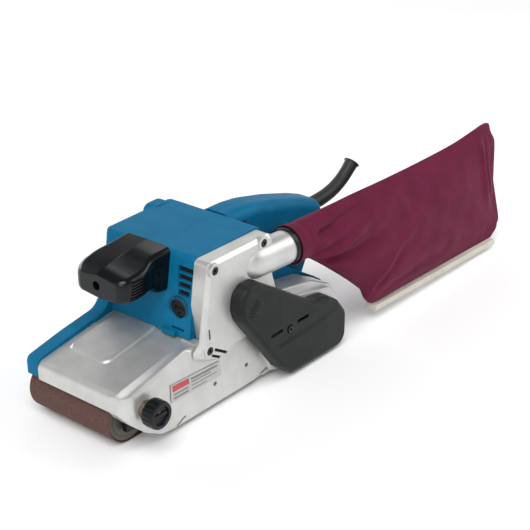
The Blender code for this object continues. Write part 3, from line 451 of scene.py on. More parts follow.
def apply(made):
    """Make the evaluated shape the mesh itself."""
    graph = bpy.context.evaluated_depsgraph_get()
    mesh = bpy.data.meshes.new_from_object(made.evaluated_get(graph))
    mesh.name = made.name
    made.modifiers.clear()
    made.data = mesh


def cut(target, *tools):
    boolean(target, tools, "DIFFERENCE")


def join(target, *tools):
    boolean(target, tools, "UNION")


def finish(made, look, slot, *nodes, body="tool", edge=0, segments=2, angle=30, smooth=35):
    """Soften the edges, shade, give the look's material and hand the piece to its body."""
    made.data.materials.clear()
    made.data.materials.append(MATS[look])
    if edge:
        modify(made, "BEVEL", width=edge * MM, segments=segments, limit_method="ANGLE",
            angle_limit=radians(angle), use_clamp_overlap=True)
        apply(made)
    made.data.shade_smooth()
    made.data.set_sharp_from_angle(angle=radians(smooth))
    if edge:
        modify(made, "WEIGHTED_NORMAL", keep_sharp=True)
        apply(made)
    if nodes:
        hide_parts(*nodes)
    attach(made, body)


# ---- shared outlines

REAR_LINE = [(173.2, 81, 2), (223, 74.2), (240, 70, 8), (256, 60.5), (268, 52, 5)]
DECK_SLOPE = (70.5 - 57) / 86


def deck_z(x):
    return 57 + DECK_SLOPE * (x + 20)


def housing_front(z):
    return 80 - (147 - z) * 0.165


def rear_face(z):
    return REAR_FOOT + (REAR_TOP - REAR_FOOT) * (z - SEAT_Z) / (148.5 - SEAT_Z)


# ---- frame

def base_frame():
    wall = rounded([(-24, 58.2, 7), (-24, 40), (-19, 32), (-3, 17.5, 6), (16, 7, 6), (30, 5.5), (139, 5),
        (143, 7.5), (148, 7.5), (151, 4.5), (240, 4.5, 14), (258, 20, 14), (258, 52, 8), (251, 61.5, 6),
        (223, 75.5), (176, 83, 3), (170, 57.8), (74, 57.8), (74, 72), (57, 72.3), (50, 75.2, 3),
        (-17, 59.8)])
    made = stack("frame_wall", wall, [(WALL_OUT, 0.9), (WALL_OUT + 0.3, 0.4), (WALL_OUT + 0.9, 0),
        (WALL_IN, 0)])
    above = [(-30, deck_z(-30) - 1), (66, deck_z(66) - 1), (66, 90), (-30, 90)]
    cut(made, prism("above_deck", above, RIM_IN, WALL_IN + 0.1))
    deck = rounded([(-24, 56.4, 8), (73.8, deck_z(73.8)), (73.8, SEAT_Z), (172, SEAT_Z),
        (172, SEAT_Z - 3.4), (60, SEAT_Z - 3.4), (40, SEAT_Z - 3.2), (-6, 52), (-15, 48.6), (-20.5, 44),
        (-20.5, 40), (-24, 40)])
    far = prism("deck", deck, RIM_IN - 0.5, DECK_FAR)
    land = stack("pulley_land", rounded([(150, 26, 4), (155, 10, 6), (168, 4.8, 6), (240, 4.8, 14),
        (257, 20, 14), (257, 50, 10), (244, 62, 8), (176, 76, 3), (170, 57), (150, 57, 3)]),
        [(PAD_OUT, 1.2), (PAD_OUT + 0.3, 0.5), (PAD_OUT + 1, 0), (WALL_OUT + 1.5, 0)])
    join(made, far, land, deck_rim())
    cut(made, rim_round())
    inner = rounded([(-17, 49, 3), (-17, 40), (1, 21, 6), (20, 11), (206, 9.5), (250, 10, 10),
        (252, 50, 6), (222, 71), (180, 77, 3), (172, 54), (70, 53.5), (20, 54.5), (-10, 51)])
    cut(made, prism("wall_pocket", inner, WALL_OUT + 3.5, WALL_IN + 0.1))
    parts = [rod("bearing_boss", REAR_C, 18.5, WALL_OUT + 1, WALL_IN - 0.6),
        block("shoe_bed", (30, WALL_IN - 20, 4.4), (197, 46, 9.5)),
        block("far_web", (45, 42, 9), (189, 45.6, 40)), block("stem_guide", (45, -16, 9), (50, 43, 38.8)),
        prism("bearing_arm", rounded([(150, 14), (225, 13, 12), (241, 15, 12), (241, 40, 12),
        (225, 41, 12), (150, 39)]), 50.3, 54.6), block("arm_link", (152, 42, 14), (190, 51, 39)),
        turned("tracking_boss", [(8.6, -70.5), (16.5, -70.5), (15, -74), (13.3, -75.6), (12.4, -77.4),
        (11.6, -78), (10.4, -78), (9.8, -77.4), (8.6, -77.4)], TRACK)]
    parts += [block("rib", (x, WALL_IN - 19.7, 9), (x + 4, 43, 39.4)) for x in (94, 168)]
    parts += [block("lever_ear", (66, 42, z), (81, 57, z + 3.6)) for z in (13.6, 31)]
    join(made, *parts)
    corner = rounded([(-24, 60), (270, 60), (270, -80), (140, -80), (140, -74.05), (-24, -74.05, 14)], 5)
    boolean(made, [prism("plan_corner", corner, -1, 100, "Z")], "INTERSECT")
    cutters = [rod("hub", REAR_C, 14.3, -71.7, WALL_IN + 6), rod("shaft_way", REAR_C, 7, -82, -70),
        rod("arm_bore", REAR_C, 10.3, 49, 56), rod("track_well", TRACK, 8, -80, -71.5),
        rod("track_way", TRACK, 3.4, -72.5, -69), block("stem_slot", (44, -7.4, 13.6), (51, 7.4, 34.4)),
        block("yoke_room", (-20, -59, 12), (46, -45, 36)), rod("pivot_bore", (74, 51), 2.4, 12, 36, "Z"),
        block("dust_way", (100, -69, 50), (136, -63, 60)),
        rod("cover_hole", COVER_SCREWS[2], 2.1, -76, -60), rod("belt_hole", BELT_SCREW, 2.1, -80, -69)]
    cutters += [rod("set_hole", spot, 2.2, -76, -69) for spot in ((84.6, 26), (127.6, 26.2))]
    cutters += [prism("edge_slit", [(a, b), (c, d), (c - 1, d + 1.8), (a - 1, b + 1.8)], -76, -71.8)
        for a, b, c, d in ((34, 6.2, 46, 10.8), (145, 6.6, 157, 9.6))]
    cut(made, *cutters)
    finish(made, "casting", "frame_casting", "base_frame", edge=0.7, segments=3)


def deck_rim():
    """Slope from the wall's high top edge down to the deck."""
    rings = []
    for x, top in ((-23, 56.9), (-14, 60.3), (50, 74.6), (62, 71.7)):
        foot = deck_z(x) - GAP
        rise = top - foot
        slope = [(y, top - share * rise) for y,
            share in ((-69, 0.02), (-65.5, 0.16), (-61.5, 0.46), (-58, 0.78))]
        line = [(RIM_IN - 0.9, foot - 4), (RIM_IN - 0.9, top), *slope, (RIM_FOOT, foot),
            (RIM_FOOT, foot - 4)]
        rings.append([(x, y, z) for y, z in line])
    return loft("deck_rim", rings)


def rim_round():
    """Cutter that rounds the outer shoulder of the wall's high top edge."""
    rings = []
    for x, top in ((-30, 56.81), (-17, 59.8), (50, 75.2), (57, 72.3), (72, 72)):
        rings.append([(x, y, top + drop) for y, drop in (
            (WALL_OUT - 1, 2), (-68.4, 2), (-68.4, 0.02), (-69.9, -0.22), (-71.4, -0.9), (-72.6, -2),
            (-73.5, -3.5), (WALL_OUT, -5.2), (WALL_OUT - 1, -5.4))])
    return loft("rim_round", rings)


def deck_panel():
    """Raised rounded rectangle cast into the deck's top."""
    outline = rounded([(6, -19, 7), (6, 29.5, 7), (72.5, 29.5, 3), (72.5, -19, 3)], 10)
    levels = ((-1, -1.6), (0, -1.2), (0.5, -0.9), (1.3, 0.9), (1.7, 1.6), (1.75, 2.4))
    rings = [[(a, b, deck_z(a) + lift) for a, b in inset(outline, amount)] for lift, amount in levels]
    made = loft("deck_panel", rings)
    finish(made, "casting", "frame_casting", smooth=50)


def side_guard():
    outline = rounded([(-24, 58.2, 6), (-24, 41, 1.6), (-20.6, 41), (-20.6, 49), (-8, 53.4), (73.6, 54.5),
        (housing_front(64) - 0.6, 76, 5), (60, 73.5, 8), (16, 66.5)])
    made = prism("blue_guard", outline, DECK_FAR + GAP, 50)
    finish(made, "blue", "housing", "side_guard", edge=1.8, segments=4)


def name_plate():
    """Rating plate with plain printed bands that say nothing."""
    corners = [Vector((27.5, 32.6)), Vector((93, 31.8)), Vector((90, 47.2)), Vector((27.4, 50.5))]

    def patch(name, u0, v0, u1, v1, low=-74.97, high=-74.88):
        def spot(u, v):
            foot = corners[0].lerp(corners[1], u)
            head = corners[3].lerp(corners[2], u)
            return tuple(foot.lerp(head, v))
        outline = [spot(u0, v0), spot(u1, v0), spot(u1, v1), spot(u0, v1)]
        return prism(name, outline, low, high)

    finish(patch("rating_plate", 0, 0, 1, 1, -74.9, -74.35), "plate", "plate", "name_plate", edge=0.15)
    finish(patch("plate_block", 0.03, 0.58, 0.36, 0.93), "red", "plate")
    bands = [(0.4, 0.72, 0.94, 0.86), (0.4, 0.56, 0.8, 0.64), (0.05, 0.36, 0.34, 0.46),
        (0.4, 0.36, 0.92, 0.42), (0.05, 0.14, 0.34, 0.26), (0.4, 0.14, 0.7, 0.2)]
    for number, band in enumerate(bands):
        finish(patch(f"plate_band_{number + 1}", *band), "grey", "plate")


def sanding_belt():
    outer = open_belt(FRONT_C, 24, REAR_C, 27)
    inner = open_belt(FRONT_C, 23, REAR_C, 26)
    bm = bmesh.new()
    edges = ((outer, -BELT_HALF), (outer, BELT_HALF), (inner, BELT_HALF), (inner, -BELT_HALF))
    rows = [[bm.verts.new((a, along, b)) for a, b in points] for points, along in edges]
    for index in range(4):
        bridge(bm, rows[index], rows[(index + 1) % 4])
    made = place("abrasive_belt", bm)
    finish(made, "abrasive", "abrasive", "sanding_belt", edge=0.2)


def roller(name, centre, radius, bore, look, body, slot, node_name, dish=3):
    def side(depth):
        return [(bore, depth), (radius - 5, depth), (radius - 3.8, 0.4), (radius - 3.2, 0),
            (radius - 0.5, 0), (radius, 0.6)]
    profile = [(r, -ROLLER_HALF + d) for r, d in side(dish)] + [(r, ROLLER_HALF - d) for r,
        d in reversed(side(3))]
    made = turned(name, profile, centre, steps=96)
    finish(made, look, slot, node_name, body=body)


def rollers():
    roller("idler_roller", FRONT_C, 22.7, 6.3, "roller", "idler", "roller_alloy", "front_roller", 0.6)
    roller("driven_roller", REAR_C, 25.7, 8, "rubber", "drive_train", "rubber", "drive_roller")


def tracking():
    knob = turned("steering_knob", [(3.3, -80.4), (11, -80.4), (12.6, -81.2), (12.9, -82.6),
        (12.9, -90.8), (12.4, -92.6), (11.2, -93.4), (9, -93.4), (8.6, -92.8), (8.2, -90.8),
        (3.3, -90.6)], TRACK, steps=96)
    notches = []
    for angle in full_turn(18):
        spot = (TRACK[0] + 13.5 * cos(angle), TRACK[1] + 13.5 * sin(angle))
        notches.append(rod("notch", spot, 1.15, -95, -79, steps=16))
    cut(knob, *notches)
    finish(knob, "black", "dark_cover", "tracking_knob", body="tracker", edge=0.35)
    corners = ((-7.6, -1.6), (7.6, -1.6), (7.6, 1.6), (-7.6, 1.6))
    outline = rounded([(TRACK[0] + a, TRACK[1] + b, 1) for a, b in corners], 15)
    web = stack("knob_web", outline, [(-92.2, 0.5), (-91.8, 0), (-90.7, 0)])
    finish(web, "black", "dark_cover", body="tracker")
    ring = turned("thread_ring", [(6.4, -80), (8.6, -80), (8.9, -79.4), (8.4, -78.9), (8.9, -78.4),
        (8.4, -77.9), (8.4, -72), (6.4, -72)], TRACK, steps=96)
    finish(ring, "bronze", "brass")


# ---- belt cover

RIB_SLANT = 38


def belt_cover():
    outline = rounded([(100.6, 96, 16), (104.5, 84, 20), (156.5, 15.5, 10), (171, 3, 9), (254.5, 1.5, 14),
        (255.5, 36, 14), (243, 52.5, 8), (228.5, 61.8, 8), (214, 64.6), (206, 65.2), (127, 115.5, 12),
        (105, 116, 14)])
    made = stack("timing_cover", outline, [(COVER_FACE, 4.6), (COVER_FACE + 0.25, 3.4),
        (COVER_FACE + 0.9, 2.2), (COVER_FACE + 2, 1.1), (COVER_FACE + 3.6, 0.35), (-86, 0),
        (-79.3, -0.4)])
    cutters = [prism("belt_room", open_belt(MOTOR, 10.2, REAR_C, 21.6), -91, -78),
        rod("screw_way", BELT_SCREW, 2.3, -95, -78), rod("screw_well", BELT_SCREW, 4.2, -95, -90.4)]
    for low, high in ((140.5, 157.5), (178.5, 195.5)):
        cutters.append(prism("slot", rounded([(low, 54, 1.2), (high, 54, 1.2), (high, 57.4, 1.2),
            (low, 57.4, 1.2)], 30), -95, -90.6))
    cut(made, *cutters)
    finish(made, "dark", "dark_cover", "belt_cover", edge=0.4)
    slant = radians(RIB_SLANT)
    for number in range(6):
        centre = Vector((120, 91.5)) + Vector((sin(slant), cos(slant))) * (number - 2.5) * 2.9
        half = Vector((cos(slant), -sin(slant))) * -(6.4 - 0.7 * abs(number - 2.5))
        thin = Vector((half.y, -half.x)).normalized() * 0.8
        outline = [centre + half + thin, centre - half + thin, centre - half - thin, centre + half - thin]
        rib = stack(f"cover_rib_{number + 1}", outline, [(-93.8, 0.35), (-93.3, 0), (-92.8, 0)])
        finish(rib, "dark", "dark_cover", smooth=60)
    start, end, thick = Vector((152.5, 42)), Vector((233.5, 45)), Vector((0, -0.7))
    for number, (drop, reach) in enumerate(((0, 1), (-2.6, 0.94))):
        a, b = start + Vector((0, drop)), start.lerp(end, reach) + Vector((0, drop))
        line = stack(f"cover_line_{number + 1}", [a, b, b + thick, a + thick],
            [(-93.4, 0.2), (-93.1, 0), (-92.8, 0)])
        finish(line, "dark", "dark_cover", smooth=60)


# ---- motor housing

def motor_housing():
    outline = rounded([(housing_front(147), 147, 5.5), (housing_front(72.8), 72.8), (74.6, 72.8),
        (74.6, SEAT_Z + GAP), (REAR_FOOT, SEAT_Z + GAP), (REAR_TOP, 148.5, 5.5)])
    made = stack("blue_housing", outline, pillow(HOUSING_LEFT, HOUSING_RIGHT, 0, 5))
    slope = []
    for x in (60, 176):
        z = 147 + (x - 80) * 0.0176
        slope.append([(x, 8, z), (x, 70, z - 2.6), (x, 70, z + 9), (x, 8, z + 9)])
    cut(made, loft("top_fall", slope))
    bump_block = stack("fan_bulge", rounded([(136, 112, 8), (162.5, 112, 8), (162.5, 147.5, 8),
        (136, 147, 8)]), pillow(45, 60.5, 0, 4, 5))
    tab = block("lip_tab", (64.2, -46, 72.8), (72, -30, 77))
    join(made, bump_block, tab)
    cutters = [rod("motor_bore", MOTOR, 36, -62, 41, steps=72), rod("nose_bore", MOTOR, 11.3, 40, 48.5),
        block("low_slot", (60, -53.6, 77.6), (90, -38.5, 80)),
        rod("front_cap_way", BRUSH, 8.9, 60, 90, "X"), rod("rear_cap_way", BRUSH, 8.9, 150, 175, "X"),
        rod("grip_hole", GRIP_SCREW, 2.3, 60, 100, "X", 24)]
    for number in range(4):
        top = 136.2 - 7 * number
        cutters.append(block("vent", (60, -59.2 + 0.9 * number, top - 5.6),
            (88, -41.2 - 0.7 * number, top)))
    cutters += [block("side_vent", (94 + 10 * n, 38, 80), (99 + 10 * n, 53, 108)) for n in range(5)]
    cutters += [rod("cover_thread", spot, 2.1, -62, -44, steps=24) for spot in COVER_SCREWS[:2]]
    cut(made, *cutters)
    finish(made, "blue", "housing", "motor_housing", edge=0.9, segments=3)
    # A black sheet behind the vents: painted shade for the dark inside of the housing.
    behind = [(housing_front(z) + 3, z) for z in (106, 137.5)] + [(88, 137.5), (88, 106)]
    shade = prism("vent_shade", behind, -59.5, -41)
    finish(shade, "painted_shade", "housing")
    foot = rounded([(76, 60), (46, 62), (46, 71.2), (58, 74.6, 16), (66, 84, 16), (70.6, 98), (76, 98)],
        6)
    made = prism("housing_foot", foot, DECK_FAR - 0.8, 49.6)
    finish(made, "blue", "housing", edge=0.8, segments=3)
    # Ring in the recess round the front brush cap, given the darker blue as painted shade.
    face = housing_front(97)
    ring = turned("cap_recess", [(8.8, face - 0.5), (9.2, face - 0.9), (11, face - 0.9),
        (11.6, face - 0.3), (11.6, face + 2), (8.8, face + 2)], BRUSH, "X")
    finish(ring, "blue_painted_shade", "housing", smooth=50)


def brush_caps():
    for side, way in (("front", -1), ("rear", 1)):
        face = housing_front(97) + 0.7 if way < 0 else 165.6
        inside = MOTOR[0] + way * 37.2
        rim = ((0, 1.6), (4.6, 1.6), (5.2, 1.2), (5.4, 0.2), (5.9, 0), (7.6, 0), (8.3, 0.4), (8.6, 1.2))
        profile = [(r, face - way * depth) for r, depth in rim] + [(8.6, inside), (0, inside)]
        cap = turned(f"cap_{side}", profile, BRUSH, "X")
        low, high = sorted((face - way * 2.4, face + way * 1))
        cut(cap, block("slot", (low, BRUSH[0] - 5.2, 96.1), (high, BRUSH[0] + 5.2, 97.9)))
        finish(cap, "black", "dark_cover", f"brush_cap_{side}", edge=0.3)


# ---- side cover

def side_cover():
    face = rounded([(77, 147.5, 6), (65, 76, 6), (55, 68.5, 6), (58.5, 61, 6), (71, 55, 6), (84, 51.4, 4),
        (101, 51, 4), (108, 57, 6), (168, 57, 6), (167.5, 92, 6), (162.5, 108, 6), (162.5, 147.5, 6)])
    made = stack("fan_cover", face, [(PAD_OUT, 3.2), (PAD_OUT + 3.4, 0), (WALL_OUT - GAP, 0)])
    body = rounded([(77.4, 147, 5), (71, 106), (76, 72.5, 3), (76, SEAT_Z + GAP, 2),
        (167.4, SEAT_Z + GAP, 2), (166.9, 92, 6), (162, 108, 6), (162, 147, 5)])
    case = prism("fan_case", body, WALL_OUT - 1.5, HOUSING_LEFT + 2)
    nose = [(SPIGOT_R * sin(t) ** 0.8, 8 - SPIGOT_NOSE * cos(t)) for t in quarter_turn(14)]
    spigot = turned("spigot", nose + [(SPIGOT_R, SPIGOT_LENGTH - 0.6), (SPIGOT_R - 0.5, SPIGOT_LENGTH),
        (0, SPIGOT_LENGTH)], start=SPIGOT_START, turn=-SPIGOT_TURN)
    bosses = [rod("screw_boss", spot, 6.8, PAD_OUT - 0.8, WALL_OUT - GAP) for spot in COVER_SCREWS]
    join(made, case, spigot, *bosses)
    cutters = [block("keep_clear", (40, HOUSING_LEFT - GAP, 40), (168, -30, 160)),
        rod("fan_room", MOTOR, 32.5, -76.4, -60, steps=72), rod("shaft_way", MOTOR, 7.5, -84, -74),
        turned("bore", [(0, -2), (13.5, -2), (13.5, SPIGOT_LENGTH + 3), (0, SPIGOT_LENGTH + 3)],
        start=SPIGOT_START, turn=-SPIGOT_TURN), block("dust_way", (100, -69, 50), (136, -63, 70))]
    for spot in COVER_SCREWS:
        cutters += [rod("screw_way", spot, 2.2, -84, -58, steps=24),
            rod("screw_well", spot, 4, -84, -76.5)]
    slits = ([(73.4, 76.2), (75.6, 76.2), (74.6, 86.6), (72.6, 86.6)],
        [(78.4, 63.9), (95.6, 53.4), (97, 55.7), (79.8, 66.2)],
        [(74.4, 59.6), (87.2, 52.4), (88.4, 54.6), (75.6, 61.8)])
    for number, slit in enumerate(slits):
        cutters.append(prism("edge_slit", slit, PAD_OUT - 2, PAD_OUT + 2.4))
        # A black sheet behind each slit: painted shade for the dark inside of the cover.
        shade = prism(f"slit_shade_{number + 1}", inset(slit, -0.6), PAD_OUT + 1.8, PAD_OUT + 2.8)
        finish(shade, "painted_shade", "fan_casing")
    cut(made, *cutters)
    finish(made, "casting", "fan_casing", "side_cover", edge=0.5, segments=3, angle=25)


# ---- handle

def handle():
    outline = rounded([(140, 112.5), (140, 147.6), (168, 148.3, 30), (186, 148.2, 30), (206, 146, 40),
        (242, 137.8, 60), (280, 126.6, 40), (307, 116.5, 14), (307, 97, 14), (286, 66, 24), (272, 40),
        (226, 40), (254, 84, 24), (263, 99, 12), (240, 103.6, 24), (200, 109.5, 24)], 5)
    near, far = HANDLE_Y - HANDLE_HALF, HANDLE_Y + HANDLE_HALF
    halves = {"left": pillow(near, HANDLE_Y - GAP / 2, 11, 0, 10),
        "right": pillow(HANDLE_Y + GAP / 2, far, 0, 11, 10)}
    front = [(130, 90), (rear_face(90) + GAP, 90), (rear_face(160) + GAP, 160), (130, 160)]
    base = inset(rounded(REAR_LINE + [(268, 20), (173.2, 20)]), -GAP)
    room = rounded([(172, 117.5, 2), (172, 142, 3), (196, 142, 6), (236, 133.5, 10), (272, 122.5, 6),
        (272, 104.5, 3), (238, 109.6, 6), (200, 115, 6)], 30)
    for side, levels in halves.items():
        half = stack(f"grip_{side}", outline, levels)
        cutters = [prism("front", front, near - 2, far + 2), prism("foot", base, near - 2, far + 2),
            block("heel", (250, near - 2, 30), (290, far + 2, 47)),
            prism("room", room, HANDLE_Y - 13.5, HANDLE_Y + 13.5),
            rod("guard_way", (HANDLE_Y, 107.5), 7.7, 268, 312, "X"),
            block("trigger_way", (187, HANDLE_Y - 7.4, 98), (234, HANDLE_Y + 7.4, 119))]
        if side == "left":
            cutters.append(rod("lock_way", (184, 132), 4.8, -28, -19))
            cutters += [rod("screw_way", spot, 2.2, -18, HANDLE_Y + 1, steps=24) for spot in HANDLE_SCREWS]
        else:
            for spot in HANDLE_SCREWS:
                cutters += [rod("screw_way", spot, 2.2, HANDLE_Y - 1, 14, steps=24),
                    rod("screw_well", spot, 4.2, 7, 14)]
        cut(half, *cutters)
        finish(half, "blue", "housing", f"handle_{side}", edge=0.35, smooth=40)


def trigger():
    outline = rounded([(189.5, 118, 1.5), (232, 112.6, 1.5), (232, 106, 2), (219, 100.6, 8),
        (203, 102, 8), (190, 108.5, 3)], 8)
    made = stack("switch_trigger", outline, pillow(HANDLE_Y - 7, HANDLE_Y + 7, 1.5, 1.5, 5))
    finish(made, "black", "dark_cover", "trigger", body="switch_trigger")
    button = turned("lock_on_button", [(0, -28.6), (2.6, -28.4), (3.8, -27.9), (4.3, -27), (4.4, -26),
        (4.4, -20.8), (0, -20.8)], (184, 132), steps=48)
    finish(button, "black", "dark_cover", "lock_button", body="lock", smooth=60)


def rear_cover():
    outline = rounded(REAR_LINE + [(268, 44, 5), (258, 34, 6), (257.2, 16, 3), (253.6, 16),
        (254.6, 40, 6), (248, 54, 12), (234, 62, 10), (220, 66.5), (176.5, 73, 2), (176.5, 66),
        (173.2, 66)])
    made = prism("tail_cover", outline, WALL_IN + GAP, 49.5)
    finish(made, "blue", "housing", "rear_cover", edge=1, segments=3)


def cord_guard():
    """Rubber guard along a smooth bend, with a flared, open mouth."""
    path = [(286, 107.5), (296, 107.5), (308, 107.5), (320, 107.9), (334, 109.6), (347, 113),
        (358.5, 118.2), (368, 124.8), (374.5, 130.2), (376, 131.5)]
    radii = [7.3, 7.3, 7.3, 7.2, 7, 6.9, 6.8, 6.8, 7.2, 8.6]
    pieces, sides, last = 8, 40, len(path) - 1
    spine, girth = [], []
    for index in range(last):
        p0, p1, p2, p3 = (Vector(path[min(max(index + k, 0), last)]) for k in (-1, 0, 1, 2))
        for t in (piece / pieces for piece in range(pieces)):
            spine.append(0.5 * (2 * p1 + (p2 - p0) * t + (2 * p0 - 5 * p1 + 4 * p2 - p3) * t * t
                + (3 * p1 - p0 - 3 * p2 + p3) * t ** 3))
            girth.append(radii[index] + (radii[index + 1] - radii[index]) * (3 * t * t - 2 * t ** 3))
    spine.append(Vector(path[last]))
    girth.append(radii[last])
    bm = bmesh.new()

    def ring_at(index, radius):
        ahead = (spine[min(index + 1, len(spine) - 1)] - spine[max(index - 1, 0)]).normalized()
        up = Vector((-ahead.y, ahead.x))
        ring = []
        for angle in full_turn(sides):
            spot = spine[index] + up * cos(angle) * radius
            ring.append(bm.verts.new((spot.x, HANDLE_Y + sin(angle) * radius, spot.y)))
        return ring

    rings = [ring_at(index, girth[index]) for index in range(len(spine))]
    rings += [ring_at(index, 4.4) for index in reversed(range(len(spine)))]
    rings.append(rings[0])
    for lower, upper in zip(rings, rings[1:]):
        bridge(bm, lower, upper)
    made = place("flex_guard", bm)
    finish(made, "rubber", "rubber", "cord_guard", edge=0.5, segments=3)


# ---- front grip

GRIP = [  # x, middle z, near shoulder z, far shoulder z, near y, far y, bottom z, side radius
    (17.4, 137.2, 134.6, 134, -24.5, 18.5, 117.4, 6), (18.4, 138.6, 136, 135, -28, 22, 116.2, 6.5),
    (20.6, 139.9, 137.2, 136.6, -31.2, 25, 115.4, 7), (24, 141.2, 138, 138.8, -33.4, 27.2, 115, 7),
    (28, 142.3, 138.2, 141, -34.3, 28, 115, 7), (34, 143.5, 138.4, 142.6, -34.6, 28, 115.2, 7),
    (42, 144.9, 139.4, 144.2, -34.2, 28, 115.6, 6.5), (50, 146, 141.8, 145.3, -32.4, 27.2, 115.8, 6),
    (56, 146.8, 144.6, 146, -30.2, 26, 115, 5.5), (61, 147.4, 146.4, 146.6, -29.4, 25.2, 110.6, 5),
    (65, 147.9, 147.2, 147, -29.6, 25, 108.4, 5), (72, 148.6, 148, 147.8, -30.4, 25, 107.5, 5),
    (82, 149.4, 148.9, 148.6, -31, 25, 107.5, 5)]


def front_grip():
    rings = []
    for step in range(66):
        x = 17.4 + (82 - 17.4) * (step / 65) ** 1.25
        middle, near_z, far_z, near, far, bottom, side = between(GRIP, x)
        corners = [(near, bottom + 1.2, 5), (-2, bottom - 0.8, 60), (far, bottom + 1.2, 5),
            (far, far_z, side), (-2.6, middle, 12), (near, near_z, side)]
        rings.append([(x, a, b) for a, b in rounded(corners, pieces=8)])
    made = loft("knob_grip", rings)
    front = [(housing_front(100) - GAP, 100), (housing_front(155) - GAP, 155), (100, 155), (100, 100)]
    cutters = [prism("housing_face", front, -40, 40), rod("screw_well", GRIP_SCREW, 4.2, 10, 50, "X"),
        rod("screw_way", GRIP_SCREW, 2.3, 48, 90, "X")]
    for number in range(7):
        z = 118 + 2.7 * number
        start = 22.5 + 0.6 * number
        outline = [(start, -40), (60, -40), (60, -27.4), (56, -28.2), (50, -30.4), (42, -32.2),
            (34, -32.7), (start + 3, -32.4)]
        cutters.append(prism("rib", outline, z, z + 1.35, "Z"))
    cut(made, *cutters)
    finish(made, "gloss", "grip", "front_grip", edge=0.3, angle=40)


# ---- dust bag

BAG_TOP = [  # share along the bag, then x and z of its top fold
    (0, 198.4, 141.7), (0.05, 212, 142.4), (0.15, 240, 143.2), (0.28, 282, 143.4),
    (0.42, 332, 142), (0.6, 398, 141.2), (0.78, 462, 142.2), (0.89, 500, 145.8),
    (0.94, 513, 147.4), (0.965, 520, 147.8), (0.985, 529, 146.6), (1, 535, 142.6)]
BAG_FOOT = [  # share, then x and z of its lower edge: neck, front corner, rail, rear corner
    (0, 198.4, 106.3), (0.05, 210.5, 104.6), (0.13, 226, 94.5), (0.26, 255, 71.5),
    (0.37, 283, 48), (0.415, 293.5, 37.5), (0.435, 296, 29.5), (0.455, 303.5, 22.5),
    (0.48, 312, 19.3), (0.6, 364, 17.7), (0.8, 452, 14.7), (0.95, 519, 12.4), (1, 537, 11.8)]
BAG_BOW = [  # share down the rear seam, then how far it bows back
    (0, 0), (0.05, 2.4), (0.1, 6.6), (0.15, 11.6), (0.19, 11), (0.27, 4.4), (0.36, 4), (0.56, 7.4),
    (0.71, 9), (0.82, 13), (0.875, 18), (0.895, 18.2), (0.915, 13.6), (0.94, 14.2), (0.96, 11), (1, 0)]
BAG_HALF = [(0, 18.6, 0.5), (0.05, 18, 0.52), (0.14, 16.6, 0.62), (0.28, 17, 0.72), (0.45, 18.6, 0.72),
    (0.62, 18, 0.7), (0.8, 14.5, 0.72), (0.92, 8, 0.8), (0.97, 3.4, 0.9), (0.985, 1.1, 1), (1, 0.9, 1)]
CLOTH_THICK = 0.7
STITCH_PITCH = 3.6
STITCH_HALF = 1.2
THREAD_R = 0.32
FOLDS = [  # side (-1 near, 1 far), points of the crest (x, z), width, height outwards
    (-1, ((202, 110), (228, 107), (262, 114), (306, 124)), 4.2, 6.6),
    (-1, ((204, 103), (232, 96), (268, 94), (330, 100)), 5.2, -7.5),
    (-1, ((212, 100), (244, 82), (270, 66), (292, 50)), 5, 3),
    (-1, ((204, 130), (232, 129), (272, 132), (334, 132)), 4.8, -7),
    (-1, ((204, 122), (236, 122), (286, 131)), 5, 3.6),
    (-1, ((300, 34), (316, 52), (340, 68), (378, 78)), 6, -3.4),
    (-1, ((304, 44), (330, 70), (360, 88), (410, 98)), 8, 2.2),
    (-1, ((306, 26), (336, 34), (380, 38), (440, 36)), 5.5, -3),
    (-1, ((506, 142), (512, 112), (516, 78), (530, 40)), 6, 3.4),
    (-1, ((519, 136), (523, 106), (525, 74), (541, 36)), 4.2, -3),
    (-1, ((390, 132), (440, 112), (480, 84), (508, 62)), 11, 2.8),
    (-1, ((350, 122), (400, 94), (450, 66), (492, 34)), 12, -2.8),
    (-1, ((516, 32), (528, 26), (546, 24)), 3.2, -3.4),
    (-1, ((508, 22), (524, 17), (540, 15)), 3, 2.4),
    (1, ((206, 116), (244, 112), (300, 116)), 5.5, 3.4),
    (1, ((210, 104), (250, 84), (300, 60)), 6, -3.4),
    (1, ((300, 30), (360, 52), (430, 60)), 9, -2.6),
    (1, ((380, 130), (450, 100), (508, 60)), 12, 2.4),
    (1, ((508, 138), (514, 90), (530, 40)), 6, 2.8)]


def fold_height(x, z, side):
    """Sum of the folds that pass near a place on one side of the bag."""
    total = 0
    for where, path, width, height in FOLDS:
        if where != side:
            continue
        spans = [dist(a, b) for a, b in zip(path, path[1:])]
        length = sum(spans)
        done, nearest, along = 0, 1e9, 0
        for (ax, az), (bx, bz), span in zip(path, path[1:], spans):
            t = max(0, min(1, ((x - ax) * (bx - ax) + (z - az) * (bz - az)) / span ** 2))
            away = hypot(x - ax - t * (bx - ax), z - az - t * (bz - az))
            if away < nearest:
                nearest, along = away, (done + t * span) / length
            done += span
        taper = min(1, along / 0.12) * min(1, (1 - along) / 0.45)
        spread = width * (0.6 + 0.8 * along)
        total += height * taper * exp(-(nearest / spread) ** 2)
    return total


